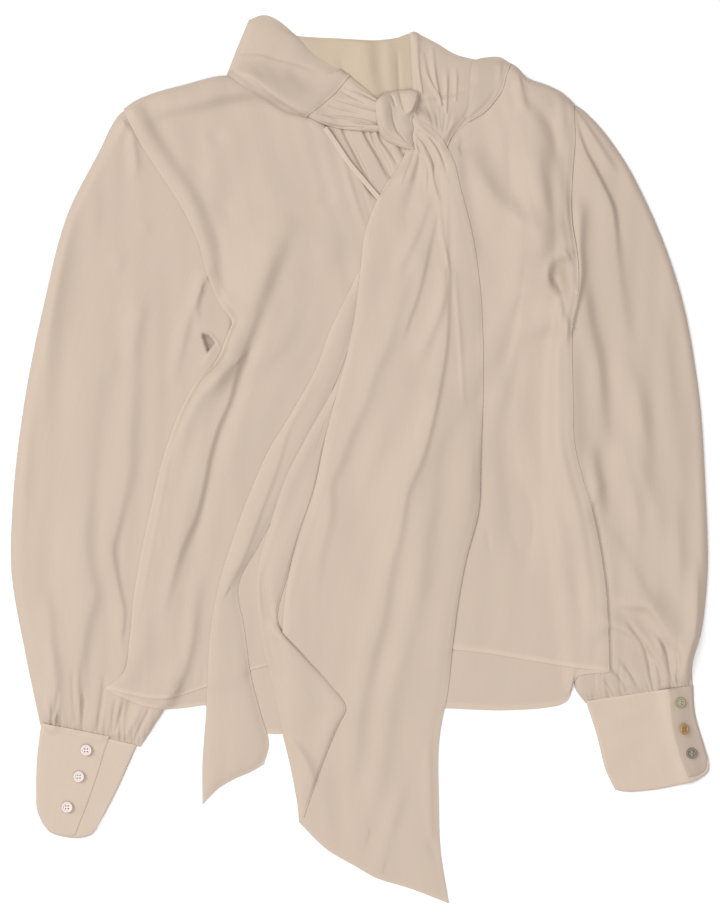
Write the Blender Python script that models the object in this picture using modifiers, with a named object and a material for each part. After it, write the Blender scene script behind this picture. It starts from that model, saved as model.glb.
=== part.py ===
"""Tie-neck blouse with balloon sleeves, lying flat on its back panel.

Frame: metres, +Z up, the table at z = 0, the collar towards +Y, the wearer's right sleeve at -X.
The tables below are in millimetres; MM turns them to metres when a mesh is made.
Every sheet is strung between its four edges and laid, in sewing order, on the pile below it.
"""
import math
from collections import namedtuple

import bmesh
import bpy
import numpy as np

MM = 0.001

# ---------------------------------------------------------------- driving sizes, mm
CLOTH = 1.0             # wall of every cloth piece
GAP = 0.3               # clear space between pieces that touch
SLEEVE_DEPTH = 2.8      # flattened sleeve, outside to outside
CUFF_DEPTH = 2.8        # flattened cuff, outside to outside
PLEAT_HEIGHT = 1.6      # rise of a pressed pleat in the tie
BINDING_WIDTH = 4.5     # bound edge of the neck slit
BUTTON_WIDTH = 10.5     # 17-ligne shell button
BUTTON_THICK = 2.2
BUTTON_HOLE = 1.5       # thread hole
HOLE_PITCH = 2.6        # between neighbouring thread holes
KNOT_SIZE = (43, 60, 12)    # across, along, high
KNOT_CENTRE = (38, 322)
KNOT_RIBS = 7.0         # ribs over half a turn of the knot
KNOT_RIB_HEIGHT = 0.06  # as a part of its half size

RASTER = 3.0            # pitch of the pile's height map
TABLE_X = 360.0         # half size of the height map
TABLE_Y = 450.0
SEAM_CELLS = 2          # rim of a footprint that may sit beside another piece

ARMHOLE_STEPS = 6       # sections along an armhole, shared by body and sleeve
SIDE_STEPS = 10         # sections along a side seam

# ---------------------------------------------------------------- outlines, mm
# Each edge is a smooth curve through (x, y) points, left to right or top to bottom.
ARMHOLE_LEFT = [(-218, 323), (-207, 297), (-189, 272), (-165, 233), (-150, 197), (-143, 165), (-137, 124)]
ARMHOLE_RIGHT = [(199, 334), (204, 297), (202, 272), (201, 225), (206, 190), (207, 165), (201, 124)]
SIDE_LEFT = [(-137, 124), (-136, 101), (-154, 77), (-167, 51), (-181, 16), (-199, -53), (-214, -132),
             (-218, -173), (-224, -204), (-241, -218)]
SIDE_RIGHT = [(201, 124), (201, 101), (202, 51), (203, 16), (211, -19), (221, -53), (234, -132),
              (236, -173), (237, -202)]

BACK_TOP = [(-218, 323), (-202, 341), (-167, 353), (-124, 363), (-95, 348), (-57, 337), (0, 332),
            (57, 334), (105, 342), (138, 366), (154, 360), (178, 352), (199, 334)]
BACK_HEM = [(-241, -219), (-208, -233), (-181, -236), (-147, -233), (-114, -251), (-85, -260),
            (-47, -257), (12, -242), (68, -238), (144, -238), (178, -236), (196, -231), (202, -221),
            (206, -208), (216, -205), (237, -203)]
FRONT_TOP = [(-218, 323), (-202, 341), (-167, 353), (-124, 363), (-98, 356), (-76, 344), (-52, 323),
             (-30, 313), (-9, 283), (20, 248), (38, 264), (62, 283), (83, 299), (101, 317), (120, 330),
             (131, 344), (138, 364), (154, 360), (178, 352), (199, 334)]
FRONT_HEM = [(-241, -218), (-218, -224), (-185, -228), (-145, -217), (-109, -203), (-28, -187),
             (53, -180), (119, -185), (167, -193), (206, -199), (237, -202)]
SLIT_EDGE = [(-30, 311), (-19, 297), (-9, 282), (6, 264), (19, 249)]

SLEEVE_LEFT_OUTER = [(-218, 323), (-243, 297), (-276, 235), (-299, 145), (-319, 48), (-330, -54),
                     (-331, -101), (-316, -185), (-302, -251)]
SLEEVE_LEFT_INNER = [(-137, 124), (-146, 96), (-152, 69), (-157, 12), (-167, -54), (-178, -116),
                     (-182, -173), (-187, -235), (-211, -272)]
SLEEVE_RIGHT_OUTER = [(199, 334), (221, 322), (246, 293), (280, 234), (308, 159), (323, 72),
                      (328, -30), (331, -125), (327, -165), (317, -215)]
SLEEVE_RIGHT_INNER = [(201, 124), (193, 80), (189, 12), (190, -45), (196, -99), (204, -152),
                      (206, -195), (208, -216), (215, -231)]
CUFF_LEFT = dict(left=[(-302, -251), (-306, -284), (-307, -316), (-304, -341), (-296, -352)],
                 right=[(-211, -272), (-220, -293), (-231, -317), (-244, -341), (-254, -356)])
CUFF_RIGHT = dict(left=[(215, -231), (226, -265), (235, -299), (243, -315)],
                  right=[(317, -215), (319, -243), (327, -272), (331, -293)])
LAP_LEFT = dict(left=[(-301, -252), (-305, -284), (-306, -316), (-303, -340), (-295, -351)],
                right=[(-238, -262), (-244, -287), (-252, -312), (-262, -338), (-270, -355)])
LAP_RIGHT = dict(left=[(294, -219), (297, -243), (304, -277), (313, -301)],
                 right=[(316, -216), (318, -243), (326, -272), (330, -294)])

NECKBAND_BACK = dict(left=[(-98, 408), (-108, 386), (-117, 366)],
                     right=[(133, 372), (132, 363), (131, 355)],
                     top=[(-98, 408), (-60, 399), (-19, 395), (19, 394), (49, 402), (86, 386), (133, 372)],
                     bottom=[(-117, 366), (-71, 341), (-23, 337), (19, 337), (53, 338), (100, 345),
                             (131, 355)])
NECKBAND_LEFT = dict(left=[(-103, 415), (-113, 391), (-124, 364)],
                     right=[(-9, 363), (-22, 347), (-52, 324)],
                     top=[(-103, 415), (-93, 420), (-61, 402), (-47, 384), (-26, 371), (-9, 363)],
                     bottom=[(-124, 364), (-98, 357), (-76, 345), (-52, 324)])
NECKBAND_RIGHT = dict(left=[(107, 377), (105, 359), (103, 340), (99, 323)],
                      right=[(144, 374), (139, 360), (127, 338), (104, 319)],
                      top=[(107, 377), (120, 380), (134, 380), (144, 374)],
                      bottom=[(99, 323), (104, 319)])
TIE_LEFT = dict(left=[(-8, 362), (-21, 346), (-51, 323)],
                right=[(23, 337), (23, 323), (23, 309)],
                top=[(-8, 362), (8, 347), (23, 337)],
                bottom=[(-51, 323), (-26, 314), (0, 310), (23, 309)])
TIE_RIGHT = dict(left=[(49, 402), (49, 378), (51, 350), (52, 332)],
                 right=[(114, 376), (112, 352), (99, 321), (84, 296)],
                 top=[(49, 402), (58, 401), (75, 393), (90, 384), (114, 376)],
                 bottom=[(52, 332), (66, 312), (84, 296)])
TAIL_OVER = dict(left=[(42, 302), (35, 272), (19, 249), (6, 217), (0, 169), (-7, 122), (-18, 74),
                       (-32, 21), (-43, -30), (-59, -78), (-68, -116), (-73, -164), (-69, -220),
                       (-66, -268), (-59, -315), (-56, -346)],
                 right=[(61, 317), (83, 293), (95, 255), (106, 215), (114, 164), (117, 112), (117, 55),
                        (115, 3), (113, -50), (101, -97), (95, -128), (89, -173), (84, -220),
                        (75, -268), (74, -325), (75, -372), (82, -419)],
                 bottom=[(-56, -346), (-30, -373), (12, -397), (50, -408), (82, -419)])
TAIL_TURNBACK = dict(left=[(-28, 60), (-52, 17), (-71, -21), (-85, -64), (-96, -102), (-98, -129),
                           (-95, -159), (-90, -187), (-83, -214), (-73, -262), (-65, -296), (-57, -339)],
                     right=[(-23, 51), (-37, 12), (-47, -30), (-62, -75), (-72, -114), (-78, -156),
                            (-52, -188), (-28, -215), (-13, -238), (-20, -253), (-38, -298), (-53, -341)])
TAIL_UNDER = dict(left=[(-39, 74), (-64, 44), (-87, 6), (-104, -33), (-119, -73), (-133, -118),
                        (-142, -168), (-144, -207), (-146, -246), (-149, -287), (-149, -328)],
                  right=[(-28, 66), (-44, 34), (-60, -4), (-76, -42), (-96, -83), (-115, -121),
                         (-109, -163), (-103, -207), (-93, -246), (-87, -273), (-92, -289)])

# ---------------------------------------------------------------- folds, mm
# A fold is a soft ridge along a straight line, highest at its middle.
Fold = namedtuple("Fold", "x0 y0 x1 y1 width height")

BODY_FOLDS = [
    Fold(-95, 160, -160, -80, 16, 3.0),
    Fold(-160, -20, -205, -190, 14, 2.5),
    Fold(120, 300, 190, 215, 15, 2.5),
    Fold(150, 100, 165, -150, 22, 2.0),
]
SLEEVE_LEFT_FOLDS = [
    Fold(-265, 240, -292, -190, 20, 3.0),
    Fold(-225, 200, -245, -200, 18, 3.0),
    Fold(-170, 130, -215, -190, 16, 3.0),
]
SLEEVE_RIGHT_FOLDS = [
    Fold(225, 270, 262, -60, 18, 3.0),
    Fold(262, 230, 300, -140, 20, 3.0),
    Fold(225, -120, 290, -190, 16, 3.0),
]
TAIL_FOLDS = [
    Fold(50, 240, -20, -90, 12, 3.0),
    Fold(75, 230, 20, -250, 12, 3.5),
    Fold(95, 220, 95, -60, 10, 3.0),
    Fold(60, -180, 40, -370, 12, 2.5),
    Fold(0, -170, -20, -330, 14, 2.5),
]
TURNBACK_FOLDS = [Fold(-85, -100, -70, -260, 10, 1.5)]
UNDER_FOLDS = [Fold(-80, -20, -130, -200, 10, 2.0)]

# Buttons: x, y, tilt about the button's long diagonal in degrees
Button = namedtuple("Button", "name x y tilt")
BUTTONS = [
    Button("button_left_1", -259, -277, 0),
    Button("button_left_2", -266, -302, 0),
    Button("button_left_3", -277, -331, 0),
    Button("button_right_1", 304, -232, 0),
    Button("button_right_2", 307, -257, 38),
    Button("button_right_3", 315, -280, 0),
]

IVORY = (0.67, 0.54, 0.46)
IVORY_SHADE = (0.62, 0.51, 0.40)
SHELL_PALE = (0.62, 0.58, 0.50)
SHELL_GREY = (0.25, 0.26, 0.25)


# ---------------------------------------------------------------- shape helpers
def along(points, steps):
    """steps + 1 points evenly spaced by length on a smooth curve through the given points."""
    knots = np.array(points, float)
    reach = np.concatenate([[0.0], np.cumsum(np.linalg.norm(np.diff(knots, axis=0), axis=1))])
    slope = np.gradient(knots, reach, axis=0) if len(knots) > 2 else np.tile(
        (knots[1] - knots[0]) / reach[1], (2, 1))
    at = np.linspace(0.0, reach[-1], steps + 1)
    left = np.clip(np.searchsorted(reach, at, side="right") - 1, 0, len(knots) - 2)
    span = (reach[left + 1] - reach[left])[:, None]
    t = (at[:, None] - reach[left][:, None]) / span
    return ((2 * t**3 - 3 * t**2 + 1) * knots[left] + (t**3 - 2 * t**2 + t) * span * slope[left]
            + (3 * t**2 - 2 * t**3) * knots[left + 1] + (t**3 - t**2) * span * slope[left + 1])


def patch(top, bottom, left, right):
    """Coons patch between four edges; rows run from top to bottom and columns from left to right."""
    u = np.linspace(0.0, 1.0, len(top))[None, :, None]
    v = np.linspace(0.0, 1.0, len(left))[:, None, None]
    across = (1 - u) * left[:, None] + u * right[:, None]
    down = (1 - v) * top[None] + v * bottom[None]
    corners = ((1 - u) * (1 - v) * top[0] + u * (1 - v) * top[-1]
               + (1 - u) * v * bottom[0] + u * v * bottom[-1])
    return across + down - corners


def strip(edges, columns, rows):
    """Plan of a sheet from a dict of edges; a missing top or bottom edge is a straight line."""
    left = along(edges["left"], rows)
    right = along(edges["right"], rows)
    top = along(edges.get("top", [edges["left"][0], edges["right"][0]]), columns)
    bottom = along(edges.get("bottom", [edges["left"][-1], edges["right"][-1]]), columns)
    return patch(top, bottom, left, right)


def relief(plan, folds):
    """Height that the folds add at each point of a plan."""
    rise = np.zeros(plan.shape[:2])
    for fold in folds:
        start = np.array([fold.x0, fold.y0], float)
        run = np.array([fold.x1, fold.y1]) - start
        t = np.clip(((plan - start) @ run) / (run @ run), 0.0, 1.0)
        away = np.linalg.norm(plan - (start + t[..., None] * run), axis=-1)
        rise = np.maximum(rise, fold.height * np.sin(math.pi * t) ** 0.5 * np.exp(-(away / fold.width) ** 2))
    return rise


class Pile:
    """Height map of the cloth that already lies on the table."""

    def __init__(self):
        self.top = np.zeros((round(2 * TABLE_X / RASTER), round(2 * TABLE_Y / RASTER)))

    def cells(self, plan):
        """Raster indices under an array of plan points."""
        ij = np.floor((plan + (TABLE_X, TABLE_Y)) / RASTER).astype(int)
        return ij[..., 0], ij[..., 1]

    @staticmethod
    def spread(field, reach):
        """Highest value within reach cells along both axes."""
        for axis in (0, 1):
            shifts = [np.roll(field, shift, axis) for shift in range(-reach, reach + 1)]
            field = np.max(shifts, axis=0)
        return field

    @staticmethod
    def facet_samples(plan):
        """Plan points that fill every facet more finely than the raster, and how many fill one side."""
        side = max(np.linalg.norm(np.diff(plan, axis=axis), axis=-1).max() for axis in (0, 1))
        fine = math.ceil(1.6 * side / RASTER)
        for axis in (0, 1):
            last = plan.shape[axis] - 1
            at = (np.arange(last * fine) + 0.5) / fine
            low = at.astype(int)
            t = (at - low).reshape((-1, 1, 1) if axis == 0 else (1, -1, 1))
            plan = plan.take(low, axis) * (1 - t) + plan.take(low + 1, axis) * t
        return plan, fine, math.ceil(side / RASTER) + 1

    def support(self, plan, seamed=False):
        """Height at each point of a plan that clears all the cloth below its facets.

        A seamed panel sits beside its neighbours, so the rim of its footprint rests on nothing.
        """
        samples, _, reach = self.facet_samples(plan)
        outside = np.ones(self.top.shape, bool)
        outside[self.cells(samples)] = False
        inside = ~self.spread(outside, SEAM_CELLS if seamed else 0)
        below = self.spread(np.where(inside, self.top, 0.0), reach)[self.cells(plan)]
        return np.where(below > 0.0, below + GAP, 0.0)

    def lay(self, plan, upper):
        """Raise the map to the upper side of a sheet, each facet counted at its highest corner."""
        samples, fine, _ = self.facet_samples(plan)
        facet = np.maximum.reduce([upper[:-1, :-1], upper[1:, :-1], upper[:-1, 1:], upper[1:, 1:]])
        facet = facet.repeat(fine, 0).repeat(fine, 1)
        np.maximum.at(self.top, self.cells(samples), facet)

    def height(self, x, y, reach):
        """Highest cloth within reach millimetres of a point."""
        i, j = self.cells(np.array([x, y], float))
        n = math.ceil(reach / RASTER)
        return self.top[i - n:i + n + 1, j - n:j + n + 1].max()


# ---------------------------------------------------------------- mesh helpers
def new_object(name, mesh, colour, roughness):
    """Object in the blouse collection with a material of its own."""
    item = bpy.data.objects.new(name, mesh)
    bpy.data.collections["blouse"].objects.link(item)
    material = bpy.data.materials.new(name)
    material.use_nodes = True
    shader = material.node_tree.nodes["Principled BSDF"]
    shader.inputs["Base Color"].default_value = (*colour, 1.0)
    shader.inputs["Roughness"].default_value = roughness
    shader.inputs["Metallic"].default_value = 0.0
    mesh.materials.append(material)
    return item


def grid_mesh(name, points, closed=False):
    """Grid primitive whose points are moved to a (rows, columns, 3) array in millimetres."""
    rows, columns = points.shape[:2]
    mesh = bpy.data.meshes.new(name)
    work = bmesh.new()
    bmesh.ops.create_grid(work, x_segments=columns - 1, y_segments=rows - 1, size=1.0)
    for vert, place in zip(work.verts, points[::-1].reshape(-1, 3)):
        vert.co = place * MM
    if closed:
        bmesh.ops.remove_doubles(work, verts=work.verts, dist=0.00001)
    work.to_mesh(mesh)
    work.free()
    return mesh


def thicken(item, offset, even=False):
    """Give an open cloth surface its wall."""
    wall = item.modifiers.new("Wall", "SOLIDIFY")
    wall.thickness = CLOTH * MM
    wall.offset = offset
    wall.use_even_offset = even


def sheet(pile, name, plan, folds=(), pleats=0.0, seamed=False, colour=IVORY):
    """Single cloth panel laid on the pile; pleats raises every other column by that height."""
    lower = pile.support(plan, seamed) + relief(plan, folds)
    lower[:, 1::2] += pleats
    item = new_object(name, grid_mesh(name, np.dstack([plan, lower])), colour, 0.55)
    thicken(item, 1.0)
    pile.lay(plan, lower + CLOTH)
    return item


def tube(pile, name, plan, depth, folds=(), colour=IVORY):
    """Flattened tube of cloth, open at both ends: an under wall, an upper wall and two side folds."""
    lower = pile.support(plan, seamed=True)
    upper = lower + depth + relief(plan, folds)
    under_wall = np.dstack([plan, lower])
    upper_wall = np.dstack([plan, upper])
    ring = np.concatenate([upper_wall, under_wall[:, ::-1], upper_wall[:, :1]], axis=1)
    item = new_object(name, grid_mesh(name, ring, closed=True), colour, 0.55)
    thicken(item, -1.0, even=True)
    pile.lay(plan, upper)
    return item


# ---------------------------------------------------------------- pieces
def body_plan(top, hem, columns):
    """Plan of a body panel from its top and hem edges and the shared armhole and side edges."""
    left = np.vstack([along(ARMHOLE_LEFT, ARMHOLE_STEPS), along(SIDE_LEFT, SIDE_STEPS)[1:]])
    right = np.vstack([along(ARMHOLE_RIGHT, ARMHOLE_STEPS), along(SIDE_RIGHT, SIDE_STEPS)[1:]])
    top_edge = along(top, columns)
    hem_edge = along(hem, columns)
    top_edge[[0, -1]] = left[0], right[0]
    left[-1], right[-1] = hem_edge[0], hem_edge[-1]
    return patch(top_edge, hem_edge, left, right)


def sleeve_plan(armhole, outer, inner, side, rows):
    """Plan of a sleeve: from the armhole, one gap outside it, to the cuff seam."""
    mouth = along(armhole, ARMHOLE_STEPS) + (side * GAP, 0.0)
    mouth[0, 0] += side * CLOTH
    outer_edge = along(outer, rows)
    inner_edge = along(inner, rows)
    outer_edge[0], inner_edge[0] = mouth[0], mouth[-1]
    cuff_seam = along([outer[-1], inner[-1]], ARMHOLE_STEPS)
    if side < 0:
        return patch(mouth, cuff_seam, outer_edge, inner_edge)
    return patch(mouth[::-1], cuff_seam[::-1], inner_edge, outer_edge)


def cuff_plan(edges, columns, rows):
    """Plan of a cuff, one gap below the sleeve's end."""
    return strip(edges, columns, rows) - (0.0, GAP + CLOTH / 2)


def binding_plan():
    """Plan of the bound edge of the neck slit, its own width inside the edge."""
    edge = along(SLIT_EDGE, 6)
    run = np.gradient(edge, axis=0)
    inward = np.column_stack([run[:, 1], -run[:, 0]]) / np.linalg.norm(run, axis=1)[:, None]
    return np.stack([edge + inward * BINDING_WIDTH, edge], axis=1)


def knot(pile):
    """Rounded lump of the knotted tie, ribbed from upper left to lower right."""
    across, deep, high = KNOT_SIZE
    centre_x, centre_y = KNOT_CENTRE
    base = pile.height(centre_x, centre_y, deep / 2) + GAP
    mesh = bpy.data.meshes.new("knot")
    work = bmesh.new()
    bmesh.ops.create_uvsphere(work, u_segments=20, v_segments=10, radius=1.0)
    for vert in work.verts:
        x, y, z = vert.co
        rib = 1.0 + KNOT_RIB_HEIGHT * math.cos(KNOT_RIBS * (x + 0.7 * y)) * max(z, 0.0)
        vert.co = ((centre_x + x * across / 2 * rib) * MM, (centre_y + y * deep / 2 * rib) * MM,
                   (base + (z + 1.0) * high / 2 * rib) * MM)
    work.to_mesh(mesh)
    work.free()
    return new_object("knot", mesh, IVORY, 0.5)


def button(pile, spec, colour):
    """Four-hole shell button: a turned disc with a raised rim, drilled, lying on the cuff."""
    radius = BUTTON_WIDTH / 2
    profile = [(0.0, 1.6), (3.1, 1.6), (3.8, BUTTON_THICK), (4.8, BUTTON_THICK), (radius, 1.5),
               (radius, 0.7), (4.3, 0.0), (0.0, 0.0)]
    mesh = bpy.data.meshes.new(spec.name)
    mesh.from_pydata([(r * MM, 0.0, z * MM) for r, z in profile],
                     [(i, i + 1) for i in range(len(profile) - 1)], [])
    item = new_object(spec.name, mesh, colour, 0.25)
    turn = item.modifiers.new("Turn", "SCREW")
    turn.steps = turn.render_steps = 24
    turn.use_merge_vertices = True
    turn.merge_threshold = 0.00001

    drill_mesh = bpy.data.meshes.new(spec.name + "_drill")
    work = bmesh.new()
    for turn_x in (-1, 1):
        for turn_y in (-1, 1):
            made = bmesh.ops.create_cone(work, cap_ends=True, segments=6, radius1=BUTTON_HOLE / 2 * MM,
                                         radius2=BUTTON_HOLE / 2 * MM, depth=3 * BUTTON_THICK * MM)
            bmesh.ops.translate(work, verts=made["verts"],
                                vec=(turn_x * HOLE_PITCH / 2 * MM, turn_y * HOLE_PITCH / 2 * MM, 0.0))
    work.to_mesh(drill_mesh)
    work.free()
    drill = bpy.data.objects.new(spec.name + "_drill", drill_mesh)
    bpy.data.collections["cutters"].objects.link(drill)
    drill.hide_render = True
    drill.display_type = "WIRE"
    cut = item.modifiers.new("Holes", "BOOLEAN")
    cut.object = drill

    tilt = math.radians(spec.tilt)
    lift = radius * math.sin(tilt) + GAP
    place = (spec.x * MM, spec.y * MM, (pile.height(spec.x, spec.y, radius) + lift) * MM)
    for thing in (item, drill):
        thing.location = place
        thing.rotation_euler = (0.0, tilt, 0.0)


def build():
    """Make every piece of the blouse from the table up."""
    pile = Pile()
    left_plan = sleeve_plan(ARMHOLE_LEFT, SLEEVE_LEFT_OUTER, SLEEVE_LEFT_INNER, -1, 16)
    right_plan = sleeve_plan(ARMHOLE_RIGHT, SLEEVE_RIGHT_OUTER, SLEEVE_RIGHT_INNER, 1, 16)
    tube(pile, "sleeve_left", left_plan, SLEEVE_DEPTH, SLEEVE_LEFT_FOLDS)
    tube(pile, "sleeve_right", right_plan, SLEEVE_DEPTH, SLEEVE_RIGHT_FOLDS)
    tube(pile, "cuff_left", cuff_plan(CUFF_LEFT, 5, 5), CUFF_DEPTH)
    tube(pile, "cuff_right", cuff_plan(CUFF_RIGHT, 5, 4), CUFF_DEPTH)
    sheet(pile, "cuff_left_lap", cuff_plan(LAP_LEFT, 3, 5), seamed=True)
    sheet(pile, "cuff_right_lap", cuff_plan(LAP_RIGHT, 2, 4), seamed=True)

    sheet(pile, "back", body_plan(BACK_TOP, BACK_HEM, 18), seamed=True, colour=IVORY_SHADE)
    sheet(pile, "front", body_plan(FRONT_TOP, FRONT_HEM, 17), BODY_FOLDS, seamed=True)
    sheet(pile, "neckband_back", strip(NECKBAND_BACK, 8, 3), colour=IVORY_SHADE)
    sheet(pile, "slit_binding", binding_plan())
    sheet(pile, "neckband_left", strip(NECKBAND_LEFT, 6, 3))
    sheet(pile, "neckband_right", strip(NECKBAND_RIGHT, 3, 4))
    sheet(pile, "tie_right", strip(TIE_RIGHT, 12, 5), pleats=PLEAT_HEIGHT)
    sheet(pile, "tie_left", np.swapaxes(strip(TIE_LEFT, 5, 10), 0, 1)[::-1], pleats=PLEAT_HEIGHT)
    sheet(pile, "tail_under", strip(TAIL_UNDER, 4, 20), UNDER_FOLDS)
    sheet(pile, "tail_over", strip(TAIL_OVER, 8, 26), TAIL_FOLDS)
    sheet(pile, "tail_turnback", strip(TAIL_TURNBACK, 4, 18), TURNBACK_FOLDS)
    knot(pile)
    for spec in BUTTONS:
        button(pile, spec, SHELL_PALE if spec.x < 0 else SHELL_GREY)


def clear_scene():
    """Remove what the file holds and make the two collections."""
    for item in list(bpy.data.objects):
        bpy.data.objects.remove(item, do_unlink=True)
    for name in ("blouse", "cutters"):
        group = bpy.data.collections.new(name)
        bpy.context.scene.collection.children.link(group)


clear_scene()
build()
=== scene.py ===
"""Looks of the tie-neck blouse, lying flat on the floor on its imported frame.

Tables are in millimetres: x to the right, y towards the collar, z up from the floor. Every piece of
cloth is a height field laid in sewing order on the pile below it, then turned to metres.
"""
import logging
import math
from dataclasses import dataclass, field
from enum import Enum

import bpy
import numpy as np
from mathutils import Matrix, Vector


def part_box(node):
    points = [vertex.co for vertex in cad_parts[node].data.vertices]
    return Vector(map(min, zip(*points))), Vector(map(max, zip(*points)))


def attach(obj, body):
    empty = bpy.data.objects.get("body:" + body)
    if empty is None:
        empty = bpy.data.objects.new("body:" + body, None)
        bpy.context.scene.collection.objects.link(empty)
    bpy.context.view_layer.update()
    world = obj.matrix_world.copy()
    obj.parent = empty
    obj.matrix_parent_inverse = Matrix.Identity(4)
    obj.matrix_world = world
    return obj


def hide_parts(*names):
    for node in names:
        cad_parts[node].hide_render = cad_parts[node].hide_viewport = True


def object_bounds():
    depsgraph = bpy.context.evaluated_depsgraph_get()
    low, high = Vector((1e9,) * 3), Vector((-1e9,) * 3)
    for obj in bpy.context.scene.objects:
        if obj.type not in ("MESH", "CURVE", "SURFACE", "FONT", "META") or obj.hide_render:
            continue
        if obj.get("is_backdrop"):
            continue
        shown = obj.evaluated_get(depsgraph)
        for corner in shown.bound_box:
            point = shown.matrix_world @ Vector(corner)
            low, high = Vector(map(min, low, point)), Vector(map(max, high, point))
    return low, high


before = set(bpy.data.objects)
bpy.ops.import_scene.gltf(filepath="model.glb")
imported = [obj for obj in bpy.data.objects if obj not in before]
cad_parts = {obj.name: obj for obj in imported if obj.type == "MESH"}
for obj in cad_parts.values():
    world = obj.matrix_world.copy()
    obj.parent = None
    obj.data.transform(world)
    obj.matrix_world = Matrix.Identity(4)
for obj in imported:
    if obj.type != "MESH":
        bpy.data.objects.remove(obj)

Points = np.ndarray
Line = tuple[tuple[float, float], ...]
Series = float | tuple[float, ...]

MM = 0.001
WALL = 0.22         # crepe satin, one layer
GAP = 0.08          # clear height between layers that touch
FLOOR_CLEAR = 0.12  # lowest cloth above the floor
RIM = 0.2           # width of the outermost cells of a sheet

log = logging.getLogger("blouse")


# ---------------------------------------------------------------- lines and outlines
def curve(points: Line | Points, at: Points) -> Points:
    """Smooth curve through points: a cubic Hermite span between each two, slopes by finite difference.

    Args:
        points: the points that it passes through, in millimetres.
        at: fractions of the length, from 0 to 1.

    Returns:
        One point for each fraction.
    """
    knots = np.array(points, float)
    reach = np.concatenate([[0.0], np.cumsum(np.linalg.norm(np.diff(knots, axis=0), axis=1))])
    if len(knots) > 2:
        slope = np.gradient(knots, reach, axis=0)
    else:
        slope = np.tile(np.diff(knots, axis=0) / reach[1], (2, 1))
    where = np.asarray(at) * reach[-1]
    left = np.clip(np.searchsorted(reach, where, side="right") - 1, 0, len(knots) - 2)
    span = (reach[left + 1] - reach[left])[:, None]
    t = (where - reach[left])[:, None] / span
    return ((2 * t**3 - 3 * t**2 + 1) * knots[left] + (t**3 - 2 * t**2 + t) * span * slope[left]
            + (3 * t**2 - 2 * t**3) * knots[left + 1] + (t**3 - t**2) * span * slope[left + 1])


def series(values: Series, t: Points) -> Points:
    """Values spread evenly over 0 to 1 and joined by smooth steps.

    Args:
        values: the values, or one that holds everywhere.
        t: where to read them, from 0 to 1.

    Returns:
        A value for each t.
    """
    known = np.atleast_1d(np.array(values, float))
    if len(known) == 1:
        return np.full(np.shape(t), known[0])
    place = np.clip(t, 0.0, 1.0) * (len(known) - 1)
    low = np.minimum(place.astype(int), len(known) - 2)
    step = smooth(place - low)
    return known[low] * (1 - step) + known[low + 1] * step


def smooth(t: Points) -> Points:
    """Step from 0 to 1 with level ends: 3 t squared less 2 t cubed."""
    t = np.clip(t, 0.0, 1.0)
    return t * t * (3.0 - 2.0 * t)


def rounded(away: Points, width: float) -> Points:
    """Quarter ellipse: 0 at an edge, rising upright to 1 at this width from it."""
    return np.sqrt(1.0 - (1.0 - np.clip(away / width, 0.0, 1.0)) ** 2)


def bell(away: Points, width: float) -> Points:
    """1 on a line, falling off on both sides: e to minus the square of distance over width."""
    return np.exp(-((away / width) ** 2))


def crowd(count: int, amount: float) -> Points:
    """Steps from 0 to 1, drawn towards both ends by a sine wave of this amount."""
    t = np.linspace(0.0, 1.0, count)
    return t - amount * np.sin(math.tau * t)


def nearest(path: Points, plan: Points) -> tuple[Points, Points]:
    """Where plan points lie beside a polyline.

    The nearest point of each span is the clipped projection on it, and the nearest span wins.

    Args:
        path: the polyline's points.
        plan: points, (n, 2).

    Returns:
        The distance, positive at +X of a line that runs down and at +Y of one that runs right, and
        the fraction of the line's length at the nearest point.
    """
    start, run = path[:-1], np.diff(path, axis=0)
    size = np.linalg.norm(run, axis=1)
    reach = np.concatenate([[0.0], np.cumsum(size)])
    out = plan[:, None, :] - start
    t = np.clip((out * run).sum(-1) / size**2, 0.0, 1.0)
    away = np.linalg.norm(out - t[..., None] * run, axis=-1)
    k = away.argmin(-1)
    row = np.arange(len(plan))
    side = np.sign(run[k, 0] * out[row, k, 1] - run[k, 1] * out[row, k, 0])
    return side * away[row, k], (reach[k] + t[row, k] * size[k]) / reach[-1]


def tight(t: Points, rim: float) -> Points:
    """Steps with a narrow one put in at either end, so that shading turns over a sheet's rim only there."""
    return np.concatenate([[0.0, rim], t[1:-1], [1.0 - rim, 1.0]])


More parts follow.
